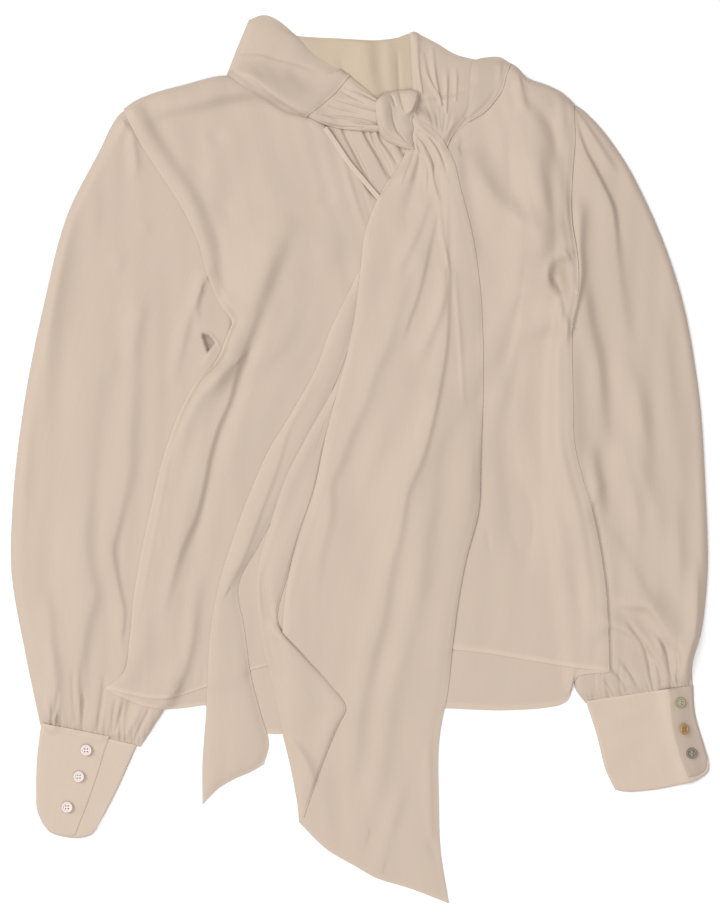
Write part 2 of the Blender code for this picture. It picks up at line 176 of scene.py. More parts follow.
@dataclass(frozen=True)
class Outline:
    """Four edges of a cut piece; a missing top or bottom is straight."""

    left: Line
    right: Line
    top: Line = ()
    bottom: Line = ()

    def plan(self, u: Points, v: Points) -> Points:
        """Coons patch: the two ruled surfaces between facing edges, less the one between the corners.

        Args:
            u: fractions across, left to right.
            v: fractions down, top to bottom.

        Returns:
            Plan points, (rows, columns, 2).
        """
        left, right = curve(self.left, v), curve(self.right, v)
        top = curve(self.top or (self.left[0], self.right[0]), u)
        bottom = curve(self.bottom or (self.left[-1], self.right[-1]), u)
        across, down = u[None, :, None], v[:, None, None]
        ruled = (1 - across) * left[:, None] + across * right[:, None]
        ruled = ruled + (1 - down) * (top - (1 - u[:, None]) * left[0] - u[:, None] * right[0])[None]
        return ruled + down * (bottom - (1 - u[:, None]) * left[-1] - u[:, None] * right[-1])[None]

    def even(self, cell: float, focus: tuple[float, float] = (0.0, 0.0), tall: float = 1.0) -> Points:
        """Plan with cells of about one size, or drawn together by a sine wave towards the focus.

        Args:
            cell: width of a cell.
            focus: where along u and v the cells are smallest, if anywhere.
            tall: height of a cell over its width.

        Returns:
            Plan points, (rows, columns, 2).
        """
        rough = self.plan(np.linspace(0, 1, 9), np.linspace(0, 1, 9))
        sizes = (np.linalg.norm(np.diff(rough, axis=1), axis=2).sum(1).max(),
                 np.linalg.norm(np.diff(rough, axis=0), axis=2).sum(0).max())
        steps = []
        for size, place, side in zip(sizes, focus, (cell, cell * tall)):
            t = np.linspace(0, 1, round(size / side) + 1)
            t = t - 0.1 * (place > 0) * (np.sin(math.tau * (t - place)) + math.sin(math.tau * place))
            steps.append(tight(t, RIM / size))
        return self.plan(*steps)


def inset(plan: Points) -> dict[str, Points]:
    """Distance of each plan point from the point of each edge on its own row or column."""
    edges = {"left": plan[:, :1], "right": plan[:, -1:], "top": plan[:1], "bottom": plan[-1:]}
    return {key: np.linalg.norm(plan - edge, axis=-1) for key, edge in edges.items()}


def beside(surface: Points, edge: dict[str, Points], key: str, away: float) -> Points:
    """Line on a surface at one distance from an edge: one point for each of its rows or columns.

    Args:
        surface: points, (rows, columns, 3).
        edge: the plan's insets.
        key: the edge that it follows.
        away: distance from it in millimetres.

    Returns:
        Points along the edge, (n, 3), straight between the grid's own.
    """
    grid = np.dstack([surface, edge[key]])
    if key in ("left", "right"):
        grid = grid.swapaxes(0, 1)
    if key in ("right", "bottom"):
        grid = grid[::-1]
    k = np.maximum(np.argmax(grid[..., 3] > away, axis=0), 1)
    pick = np.arange(grid.shape[1])
    near, far = grid[k - 1, pick], grid[k, pick]
    return (near + (far - near) * ((away - near[:, 3:]) / (far[:, 3:] - near[:, 3:])))[:, :3]


# ---------------------------------------------------------------- folds
class Profile(Enum):
    """How cloth stands along a fold."""

    RIDGE = "crest on the line, falling away to both sides"
    VALLEY = "hollow along the line"
    LAP = "cloth lapped over itself, the line in the middle of the steep side"


@dataclass(frozen=True)
class Fold:
    """Fold along a line; height and widths are spread along it. Left is -X of a line that runs down."""

    line: Line
    kind: Profile
    height: Series
    left: Series
    right: Series

    def rise(self, plan: Points) -> Points:
        """Height at plan points: a bell across the line, with its own width on either side.

        A lap's crest stands 0.7 of its narrow width from the line.

        Args:
            plan: plan points, (..., 2).

        Returns:
            Heights in millimetres, of plan's leading shape.
        """
        path = curve(self.line, np.linspace(0.0, 1.0, 4 * len(self.line)))
        reach = 2.4 * max(np.max(self.left), np.max(self.right))
        flat = plan.reshape(-1, 2)
        near = ((flat > path.min(0) - reach) & (flat < path.max(0) + reach)).all(1)
        out = np.zeros(len(flat))
        away, t = nearest(path, flat[near])
        left, right = series(self.left, t), series(self.right, t)
        if self.kind is Profile.LAP:
            away = away + 0.7 * np.where(right < left, right, -left)
        sign = -1.0 if self.kind is Profile.VALLEY else 1.0
        out[near] = sign * series(self.height, t) * bell(np.abs(away), np.where(away < 0, left, right))
        return out.reshape(plan.shape[:-1])


@dataclass(frozen=True)
class Gathers:
    """Small uneven tucks that start at a gathered seam and fade away from it."""

    pitch: float
    height: float
    reach: float
    seed: int
    coarse: float

    def rise(self, across: Points, away: Points) -> Points:
        """Two combs of narrow creases, a fine one and a wider one that runs on, with wandering phase.

        Args:
            across: millimetres along the seam.
            away: millimetres from the seam.

        Returns:
            Heights in millimetres.
        """
        draw = np.random.default_rng(self.seed)
        total = np.zeros(np.broadcast(across, away).shape)
        for scale, share, run in ((1.0, 1.0, 1.0), (2.3, 1.2 * self.coarse, 3.0)):
            phase = across / (self.pitch * scale)
            swell, length = 0.0, 1.0
            for k in (2.3, 4.1, 7.7):
                turn, lean = draw.uniform(0, math.tau, 2)
                wave = self.pitch * scale * k
                phase = phase + draw.uniform(0.15, 0.4) * np.sin(math.tau * across / wave + turn)
                phase = phase + 0.1 * np.sin(away / (self.reach * 0.9) + lean + across / (self.pitch * 9))
                swell = swell + np.sin(math.tau * across / (wave * 0.8) + lean)
                length = length + 0.2 * np.sin(math.tau * across / (wave * 0.6) + turn)
            crease = (0.5 - 0.5 * np.cos(math.tau * phase)) ** 2.2
            fade = np.exp(-(away / (self.reach * run * np.maximum(length, 0.4))) ** 1.5)
            total = total - share * crease * (0.8 + 0.25 * swell) * fade
        return self.height * total * (1.0 - 0.6 * np.exp(-away / 1.5))


def ripple(across: Points, down: Points, seed: int, size: tuple[float, float], amount: float) -> Points:
    """Slight unevenness of handled cloth: eight sine waves of drawn lengths, added.

    Args:
        across: first coordinate in millimetres.
        down: second coordinate in millimetres.
        seed: start of the random draw.
        size: usual wavelength along each coordinate.
        amount: height in millimetres, root mean square.

    Returns:
        Heights in millimetres.
    """
    draw = np.random.default_rng(seed)
    total = np.zeros(np.broadcast(across, down).shape)
    for _ in range(8):
        kx, ky = draw.uniform(0.5, 1.5, 2) * draw.choice([-1, 1], 2)
        phase = kx * across / size[0] + ky * down / size[1]
        total = total + np.sin(math.tau * phase + draw.uniform(0, 6.28))
    return amount * total / 2.0


def grain(plan: Points) -> tuple[Points, Points]:
    """Lengths along the rows, from the middle, and down the columns of a plan or of a surface.

    Args:
        plan: points, (rows, columns, 2 or 3).

    Returns:
        Both lengths at each point, in millimetres.
    """
    rows = np.linalg.norm(np.diff(plan, axis=1), axis=-1)
    columns = np.linalg.norm(np.diff(plan, axis=0), axis=-1)
    across = np.concatenate([np.zeros((len(plan), 1)), np.cumsum(rows, axis=1)], axis=1)
    down = np.concatenate([np.zeros((1, plan.shape[1])), np.cumsum(columns, axis=0)], axis=0)
    return across - across.mean(1, keepdims=True), down


# ---------------------------------------------------------------- pile
@dataclass
class Pile:
    """Height map, in millimetres above the floor, of the cloth that is already laid."""

    half: tuple[float, float] = (354.0, 444.0)      # from the middle to the map's edges
    cell: float = 1.5
    reach: int = 3              # cells that a sheet bridges
    soften: float = 0.7         # least blur, in cells
    shallow: float = 4.0        # a sheet bridges one cell this far inside its edge
    deep: float = 9.0           # and all of its reach this far inside
    top: Points = field(init=False)

    def __post_init__(self) -> None:
        """Start with a bare floor."""
        self.top = np.zeros((round(2 * self.half[0] / self.cell), round(2 * self.half[1] / self.cell)))

    def place(self, plan: Points) -> Points:
        """Plan points in cells of the map."""
        return (plan + self.half) / self.cell - 0.5

    def refine(self, values: Points) -> Points:
        """Put linear points between a grid's own, so that none of the map's cells is missed.

        Args:
            values: the grid, (rows, columns, n).

        Returns:
            The finer grid.
        """
        for axis in (0, 1):
            count = values.shape[axis]
            middle = (values.take(range(count - 1), axis) + values.take(range(1, count), axis)) / 2
            joined = np.zeros(tuple(2 * n - 1 if k == axis else n for k, n in enumerate(values.shape)))
            index: list[slice] = [slice(None)] * joined.ndim
            index[axis] = slice(0, None, 2)
            joined[tuple(index)] = values
            index[axis] = slice(1, None, 2)
            joined[tuple(index)] = middle
            values = joined
        return values

    def lay(self, plan: Points, upper: Points) -> None:
        """Raise the map to the upper side of a sheet, at every refined point's own cell."""
        fine = self.refine(self.refine(np.dstack([plan, upper])))
        ij = np.clip(np.rint(self.place(fine[..., :2])).astype(int), 0, np.array(self.top.shape) - 1)
        np.maximum.at(self.top, (ij[..., 0], ij[..., 1]), fine[..., 2])

    def mask(self, plan: Points) -> Points:
        """1 in the cells under a plan and 0 elsewhere."""
        fresh = Pile(self.half, self.cell)
        fresh.lay(plan, np.ones(plan.shape[:2]))
        return fresh.top

    def spread(self, layer: Points, reach: int) -> Points:
        """Highest value within reach cells along both axes."""
        for axis in (0, 1):
            layer = np.max([np.roll(layer, n, axis) for n in range(-reach, reach + 1)], axis=0)
        return layer

    def blur(self, layer: Points, sigma: float) -> Points:
        """Gaussian average over a few cells, along each axis in turn.

        Args:
            layer: a height map.
            sigma: its spread, in cells.

        Returns:
            The softened map.
        """
        span = np.arange(-math.ceil(3 * sigma), math.ceil(3 * sigma) + 1)
        weight = np.exp(-0.5 * (span / sigma) ** 2)
        for axis in (0, 1):
            layer = sum(w * np.roll(layer, n, axis) for n, w in zip(span, weight / weight.sum()))
        return layer

    def read(self, layer: Points, plan: Points) -> Points:
        """Bilinear value of a layer at plan points.

        Args:
            layer: a height map.
            plan: plan points, (..., 2).

        Returns:
            Values of plan's leading shape.
        """
        place = np.clip(self.place(plan), 0.0, np.array(layer.shape) - 1.001)
        low = place.astype(int)
        t = place - low
        i, j = low[..., 0], low[..., 1]
        near = layer[i, j] * (1 - t[..., 0]) + layer[i + 1, j] * t[..., 0]
        far = layer[i, j + 1] * (1 - t[..., 0]) + layer[i + 1, j + 1] * t[..., 0]
        return near * (1 - t[..., 1]) + far * t[..., 1]

    def close(self, plan: Points) -> Points:
        """Height of the pile itself at plan points, softened a little."""
        return self.read(self.blur(self.top, self.soften), plan)

    def support(self, plan: Points, soft: float = 1.5) -> Points:
        """Height of the pile under a sheet, which bridges hollows in its middle and lies close at its rim.

        Args:
            plan: the sheet's plan points.
            soft: blur under its middle, in cells.

        Returns:
            Heights in millimetres.
        """
        inner = np.minimum.reduce(list(inset(plan).values()))
        height = self.close(plan)
        for reach, sigma, depth in ((1, self.soften, self.shallow), (self.reach, soft, self.deep)):
            wide = self.read(self.blur(self.spread(self.top, reach), sigma), plan)
            height = height + (wide - height) * smooth(inner / depth)
        return height


# ---------------------------------------------------------------- finishes
def linear(code: str) -> tuple[float, float, float]:
    """sRGB hex colour as linear light."""
    parts = [int(code[k:k + 2], 16) / 255 for k in (1, 3, 5)]
    return tuple(c / 12.92 if c <= 0.04045 else ((c + 0.055) / 1.055) ** 2.4 for c in parts)


def add_node(tree: bpy.types.NodeTree, kind: str, settings: dict[str | int, object],
             links: dict[str | int, bpy.types.NodeSocket] | None = None) -> bpy.types.Node:
    """Add a node with its settings and links.

    Args:
        tree: the material's node tree.
        kind: the node's type.
        settings: values of its inputs, by name or number, or else of its own properties.
        links: sockets that feed its inputs, by name or number.

    Returns:
        The node.
    """
    made = tree.nodes.new(kind)
    for key, value in settings.items():
        if isinstance(key, int) or key in made.inputs:
            made.inputs[key].default_value = value
        else:
            setattr(made, key, value)
    for key, source in (links or {}).items():
        tree.links.new(source, made.inputs[key])
    return made


def new_material(name: str,
                 **inputs: object) -> tuple[bpy.types.Material, bpy.types.NodeTree, bpy.types.Node]:
    """Material with its Principled inputs set, its tree and its shader.

    Args:
        name: what the material is.
        inputs: values of the shader's inputs, with _ for each space.

    Returns:
        The material, its node tree and its shader.
    """
    made = bpy.data.materials.new(name)
    made.use_nodes = True
    shader = made.node_tree.nodes["Principled BSDF"]
    for key, value in inputs.items():
        shader.inputs[key.replace("_", " ")].default_value = value
    return made, made.node_tree, shader


def cloud(tree: bpy.types.NodeTree, shader: bpy.types.Node, colour: str, noise: dict[str | int, object],
          levels: tuple[float, float]) -> None:
    """Give a shader one colour, times a noise in the object's own space.

    Args:
        tree: the material's node tree.
        shader: its Principled shader.
        colour: sRGB hex colour.
        noise: settings of the noise.
        levels: lowest and highest brightness.
    """
    spot = add_node(tree, "ShaderNodeTexCoord", {}).outputs["Object"]
    patches = add_node(tree, "ShaderNodeTexNoise", noise, {"Vector": spot})
    level = add_node(tree, "ShaderNodeMapRange", {"To Min": levels[0], "To Max": levels[1]},
                     {"Value": patches.outputs["Fac"]})
    shaded = add_node(tree, "ShaderNodeVectorMath", {"operation": "SCALE", 0: linear(colour)},
                      {"Scale": level.outputs["Result"]})
    tree.links.new(shaded.outputs["Vector"], shader.inputs["Base Color"])


@dataclass(frozen=True)
class CrepeSatin:
    """Viscose crepe satin, woven from twisted yarn: a soft broken sheen, no mirror light."""

    name: str
    colour: str
    roughness: float = 0.58
    sheen: float = 0.12
    pebble: float = 0.9     # crepe grain in mm; the real 0.3 mm grain wouldn't show, so it is drawn coarser
    relief: float = 0.12    # its height in mm
    slub: float = 2.6       # width in mm of the faint warp streaks

    def material(self) -> bpy.types.Material:
        """Colour with faint streaks along the warp, raised or lowered by the lightness stored on each
        piece, which holds painted shade and painted highlights as well as lighter hems, and a fine pebbled
        bump.
        """
        made, tree, shader = new_material(self.name, Roughness=self.roughness, Sheen_Weight=self.sheen,
                                          Sheen_Roughness=0.4, IOR=1.47, Specular_IOR_Level=0.35)
        cloth = add_node(tree, "ShaderNodeUVMap", {"uv_map": "grain"}).outputs["UV"]
        along = add_node(tree, "ShaderNodeMapping", {"Scale": (1.0, 0.05, 1.0)}, {"Vector": cloth})
        streak = add_node(tree, "ShaderNodeTexNoise", {"Scale": 1 / (self.slub * MM), "Detail": 2.0},
                          {"Vector": along.outputs["Vector"]})
        level = add_node(tree, "ShaderNodeMapRange", {"To Min": 0.975, "To Max": 1.025},
                         {"Value": streak.outputs["Fac"]})
        # painted shade and painted highlights reach the colour through this stored lightness
        tone_and_painted_light = add_node(tree, "ShaderNodeAttribute", {"attribute_name": "tone_and_painted_light"})
        painted_shade = add_node(tree, "ShaderNodeMath", {"operation": "ADD"},
                         {0: level.outputs["Result"], 1: tone_and_painted_light.outputs["Fac"]})
        colour = add_node(tree, "ShaderNodeVectorMath", {"operation": "SCALE", 0: linear(self.colour)},
                          {"Scale": painted_shade.outputs["Value"]})
        tree.links.new(colour.outputs["Vector"], shader.inputs["Base Color"])
        pebbles = {"Scale": 1 / (self.pebble * MM), "Detail": 3.0, "Roughness": 0.6}
        grit = add_node(tree, "ShaderNodeTexNoise", pebbles, {"Vector": cloth})
        bump = add_node(tree, "ShaderNodeBump", {"Strength": 0.35, "Distance": self.relief * MM},
                        {"Height": grit.outputs["Fac"]})
        tree.links.new(bump.outputs["Normal"], shader.inputs["Normal"])
        return made


@dataclass(frozen=True)
class TurnedShell:
    """Button turned from shell and polished: cloudy layers under a clear gloss."""

    name: str
    body: str
    cloud: str
    roughness: float = 0.22

    def material(self) -> bpy.types.Material:
        """Two shades in wavy layers across the button, with a thin clear coat."""
        made, tree, shader = new_material(self.name, Roughness=self.roughness, Coat_Weight=0.4,
                                          Coat_Roughness=0.08, IOR=1.56)
        spot = add_node(tree, "ShaderNodeTexCoord", {}).outputs["Object"]
        layers = add_node(tree, "ShaderNodeTexNoise", {"Scale": 260.0, "Detail": 3.0, "Distortion": 1.6},
                          {"Vector": spot})
        mix = add_node(tree, "ShaderNodeMix", {"data_type": "RGBA", 6: (*linear(self.body), 1.0),
                                               7: (*linear(self.cloud), 1.0)}, {0: layers.outputs["Fac"]})
        tree.links.new(mix.outputs[2], shader.inputs["Base Color"])
        return made


@dataclass(frozen=True)
class SpunThread:
    """Spun polyester sewing thread: matt, slightly lighter than the cloth where it lies in a row."""

    name: str
    colour: str

    def material(self) -> bpy.types.Material:
        """Flat thread colour broken by its twist."""
        made, tree, shader = new_material(self.name, Roughness=0.65, IOR=1.5)
        cloud(tree, shader, self.colour, {"Scale": 2500.0, "Detail": 1.0}, (0.85, 1.1))
        return made


@dataclass(frozen=True)
class PaperSweep:
    """Matt white studio paper: no gloss, a barely uneven white."""

    name: str = "studio_paper"
    colour: str = "#FBFBFB"

    def material(self) -> bpy.types.Material:
        """White with a faint large cloudiness."""
        made, tree, shader = new_material(self.name, Roughness=0.9, Specular_IOR_Level=0.2)
        cloud(tree, shader, self.colour, {"Scale": 3.0}, (0.99, 1.0))
        return made


def show(name: str, mesh: bpy.types.Mesh) -> bpy.types.Object:
    """Put a mesh into the scene as an object."""
    made = bpy.data.objects.new(name, mesh)
    bpy.context.scene.collection.objects.link(made)
    return made


def solid(name: str, points: Points, faces: list[list[int]]) -> bpy.types.Object:
    """Object made of points in millimetres and of faces that list their vertices."""
    mesh = bpy.data.meshes.new(name)
    mesh.from_pydata((points * MM).tolist(), [], faces)
    return show(name, mesh)


def ring_quads(index: Points) -> Points:
    """Quads between rings that follow each other.

    Args:
        index: the rings' vertex numbers, (..., rings, sides).

    Returns:
        Vertex numbers, (n, 4).
    """
    after = np.roll(index, -1, axis=-1)
    corners = [index[..., :-1, :], after[..., :-1, :], after[..., 1:, :], index[..., 1:, :]]
    return np.stack(corners, axis=-1).reshape(-1, 4)


@dataclass
class Dresser:
    """Makes each surface a finished piece: mesh, wall, finish and frame."""

    cloth: bpy.types.Material
    inside: bpy.types.Material
    thread: bpy.types.Material
    pitch: float = 2.6      # from stitch to stitch
    long: float = 1.9       # length of a stitch
    thick: float = 0.13     # half of the thread's thickness

    def mesh(self, name: str, surface: Points, wrap: bool, tone_and_painted_light: Points) -> bpy.types.Object:
        """Quads between neighbours of a grid of points, which face up where the grid runs down and right.

        Args:
            name: the piece's name.
            surface: points in millimetres, (rows, columns, 3).
            wrap: join the last column to the first, for a tube.
            tone_and_painted_light: what each point adds to the cloth's lightness, painted shade and painted
                highlights among it.

        Returns:
            The piece, smooth, with its grain as a UV map in metres.
        """
        rows, columns = surface.shape[:2]
        index = np.arange(rows * columns).reshape(rows, columns)
        if wrap:
            index = np.concatenate([index, index[:, :1]], axis=1)
        corners = [index[:-1, :-1], index[1:, :-1], index[1:, 1:], index[:-1, 1:]]
        quads = np.stack(corners, axis=-1).reshape(-1, 4)
        mesh = bpy.data.meshes.new(name)
        mesh.vertices.add(rows * columns)
        mesh.vertices.foreach_set("co", (surface * MM).ravel())
        mesh.loops.add(quads.size)
        mesh.loops.foreach_set("vertex_index", quads.ravel().astype(np.int32))
        mesh.polygons.add(len(quads))
        mesh.polygons.foreach_set("loop_start", np.arange(0, quads.size, 4, dtype=np.int32))
        mesh.polygons.foreach_set("use_smooth", np.ones(len(quads), bool))
        mesh.update(calc_edges=True)
        lengths = np.dstack(grain(surface)).reshape(-1, 2) * MM
        mesh.uv_layers.new(name="grain").uv.foreach_set("vector", lengths[quads.ravel()].ravel())
        painted_shade = mesh.attributes.new("tone_and_painted_light", "FLOAT", "POINT")
        painted_shade.data.foreach_set("value", tone_and_painted_light.astype(np.float32).ravel())
        return show(name, mesh)

    def cloth_piece(self, name: str, surface: Points, tone_and_painted_light: Points,
                    wrap: bool = False,
                    inside: bool = False) -> bpy.types.Object:
        """Finish a surface as the cloth that stands for the CAD node of the same name.

        Args:
            name: the CAD node, which the piece replaces.
            surface: upper side in millimetres, (rows, columns, 3).
            tone_and_painted_light: what each point adds to the cloth's lightness, painted shade and painted
                highlights among it.
            wrap: the surface is a tube.
            inside: show the cloth's wrong side.

        Returns:
            The finished piece.
        """
        piece = self.mesh(f"{name}_cloth", surface, wrap, tone_and_painted_light)
        piece.data.materials.append(self.inside if inside else self.cloth)
        wall = piece.modifiers.new("Wall", "SOLIDIFY")
        wall.thickness = WALL * MM
        wall.offset = -1.0
        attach(piece, "root")
        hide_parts(name)
        return piece

    def stitch(self, name: str, line: Points) -> None:
        """Sew a row of straight stitches: each a spindle of four sides whose ends dip into the cloth.

        Args:
            name: the row's name.
            line: where it runs on the finished surface, (n, 3).
        """
        reach = np.concatenate([[0.0], np.cumsum(np.linalg.norm(np.diff(line, axis=0), axis=1))])
        t = np.linspace(0.0, 1.0, 4)
        at = self.pitch * (np.arange(int(reach[-1] / self.pitch)) + 0.15)[:, None] + self.long * t
        core = np.stack([np.interp(at, reach, line[:, k]) for k in range(3)], axis=-1)
        run = np.gradient(core, axis=1)
        run = run / np.linalg.norm(run, axis=-1, keepdims=True)
        core[..., 2] += 0.05 * np.sin(math.pi * t) - 0.03
        up = np.array([0.0, 0.0, 1.0])
        side = np.cross(run, up)
        turn = np.linspace(0.0, math.tau, 4, endpoint=False)[:, None]
        girth = self.thick * np.sqrt(np.sin(math.pi * np.clip(t, 0.03, 0.97)))[:, None, None]
        points = core[:, :, None] + girth * (np.cos(turn) * side[:, :, None] + np.sin(turn) * up)
        index = np.arange(points[..., 0].size).reshape(points.shape[:3])
        ends = index[:, 0, ::-1].tolist() + index[:, -1].tolist()
        self.sew(name, points.reshape(-1, 3), ring_quads(index).tolist() + ends)

    def sew(self, name: str, points: Points, faces: list[list[int]]) -> None:
        """Make sewing thread and tie it to the frame.

        Args:
            name: the thread's name.
            points: its vertices in millimetres.
            faces: the vertices of each face.
        """
        piece = solid(name, points, faces)
        piece.data.materials.append(self.thread)
        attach(piece, "root")
        log.info("%s: %d faces", piece.name, len(piece.data.polygons))


# ---------------------------------------------------------------- outlines shared by the pieces
ARMHOLE_LEFT = ((-224, 331), (-219, 320), (-207, 297), (-186, 265), (-167, 235), (-154, 208), (-143, 170),
                (-132, 145), (-121, 127))
ARMHOLE_RIGHT = ((203, 337), (204, 297), (202, 272), (201, 225), (206, 190), (207, 165), (201, 124))
SIDE_LEFT = ((-124, 120), (-128, 110), (-132, 99), (-138, 89), (-154, 73), (-167, 51), (-181, 16),
             (-199, -53), (-214, -132), (-218, -173), (-224, -204), (-241, -218))
SIDE_RIGHT = ((201, 101), (202, 51), (203, 16), (211, -19), (221, -53), (234, -132), (236, -173),
              (237, -202))


def close_tube(outline: Outline, upper: Points, v: Points, seam: float, radius: float,
               under: tuple[int, float]) -> tuple[Points, int]:
    """Join an upper wall to an under wall, which lies on the floor and rounds up to the side folds.

    Args:
        outline: the tube's outline.
        upper: the upper wall, (rows, columns, 3).
        v: how far down its rows lie.
        seam: height of the side folds.
        radius: width of the rounding beside them.
        under: columns of the under wall, and how far across its first lies from a side fold.

    Returns:
        The closed surface, which runs back from right to left below, and the under wall's columns.
    """
    count, side = under
    t = np.linspace(1.0 - side, side, count)
    width = np.linalg.norm(upper[:, -1:, :2] - upper[:, :1, :2], axis=-1)
    height = seam - (seam - FLOOR_CLEAR) * rounded(np.minimum(t, 1 - t) * width, radius)
    return np.concatenate([upper, np.dstack([outline.plan(t, v), height])], axis=1), count


@dataclass
class Sleeve:
    """Balloon sleeve: a closed tube, puffed at the outer fold and pressed flat where the body covers it."""

    name: str
    outline: Outline
    outer: str                  # edge that lies away from the body
    folds: tuple[Fold, ...]
    gathers: Gathers
    puff: float = 8.5           # height where it lies free
    pressed: float = 3.0        # height under the body
    seam: float = 0.85          # height of the side folds
    rounding: float = 16.0      # width of the rounding at the outer fold
    inner: float = 9.0          # and at the fold towards the body
    drop: float = 0.3           # share of the height that is lost at the armhole
    top_fade: float = 12.0      # how far from the armhole that loss fades
    cuff_fade: float = 8.5      # how far from the cuff the height comes back
    edge_blur: float = 7.0      # softness of the body's edge, in cells of the pile
    pit: Line = ()              # corners of the gap that opens below the armhole, anticlockwise
    pit_depth: float = 6.0
    pit_painted_shade: float = 0.3      # painted shade: how much darker the gap is drawn
    stop: float = 0.4           # softness with which the upper wall stops on the under wall
    waves: tuple[tuple[int, tuple[float, float], float], ...] = (       # seed, wavelengths, amount
        (11, (30.0, 420.0), 0.16), (12, (75.0, 260.0), 0.35))
    # painted shade: the whole sleeve drawn darker, or lighter where above 0
    painted_shade: float = 0.0
    fullness: float = 1.15
    rows: int = 190
    columns: int = 132

    def within(self, plan: Points) -> Points:
        """Distance of plan points inside the pit's straight sides.

        Args:
            plan: plan points, (rows, columns, 2).

        Returns:
            Distances, below 0 outside.
        """
        corners = np.array(self.pit + self.pit[:1])
        run = np.diff(corners, axis=0) / np.linalg.norm(np.diff(corners, axis=0), axis=1)[:, None]
        out = plan[..., None, :] - corners[:-1]
        return (run[:, 0] * out[..., 1] - run[:, 1] * out[..., 0]).min(-1)

    def build(self, pile: Pile, dresser: Dresser, body: Points) -> bpy.types.Object:
        """Lay the tube: an upper wall over the air inside, and an under wall on the floor.

        The upper wall rises from both side folds as a quarter ellipse, times a height that the body's
        softened footprint presses down, plus the folds and the cuff's gathers. A logarithm of 1 plus e
        to the height keeps it above the under wall.

        Args:
            pile: cloth already laid.
            dresser: makes the finished piece.
            body: 1 where the body will lie, 0 elsewhere.

        Returns:
            The sleeve.
        """
        v = tight(crowd(self.rows, 0.07), 0.0005)
        plan = self.outline.plan(crowd(self.columns, 0.09), v)
        edge = inset(plan)
        near, far = (edge["left"], edge["right"]) if self.outer == "left" else (edge["right"], edge["left"])
        width = edge["left"][:, -1:]
        free = 1.0 - smooth((pile.read(pile.blur(body, self.edge_blur), plan) - 0.5) / 0.45)
        lean = 0.62 + 0.38 * smooth(1.2 - near / width)
        high = self.pressed + (self.puff - self.pressed) * free * lean
        ends = 1.0 - self.drop * np.exp(-edge["top"] / self.top_fade)
        ends = ends * (1.0 - 0.95 * np.exp(-edge["bottom"] / self.cuff_fade))
        round_near, round_far = rounded(near, self.rounding), rounded(far, self.inner)
        relief = sum(fold.rise(plan) for fold in self.folds)
        for seed, size, amount in self.waves:
            relief = relief + ripple(plan[..., 0], plan[..., 1], seed, size, amount)
        relief = relief * (0.25 + 0.75 * free) * np.minimum(round_near, round_far) * (0.3 + 0.7 * ends)
        relief = relief + self.gathers.rise(grain(plan)[0], edge["bottom"]) * round_near * round_far
        upper = self.seam + (high - self.seam) * ends * round_near * round_far + relief
        hole = smooth((self.within(plan) + 0.7) / 1.6) if self.pit else np.zeros(plan.shape[:2])
        upper = upper - self.pit_depth * hole
        floor = self.seam + 0.5 * round_near * round_far
        upper = floor + self.stop * np.logaddexp(0.0, (upper - floor) / self.stop) - 0.7 * self.stop
        surface, count = close_tube(self.outline, np.dstack([plan, upper]), v, self.seam, 4.0, (18, 0.015))
        # painted shade: the whole sleeve and, darker still, the gap below the armhole
        tone_and_painted_light = self.painted_shade - self.pit_painted_shade * np.pad(hole, ((0, 0), (0, count)))
        piece = dresser.cloth_piece(self.name, surface, tone_and_painted_light, wrap=True)
        pile.lay(plan, upper)
        return piece


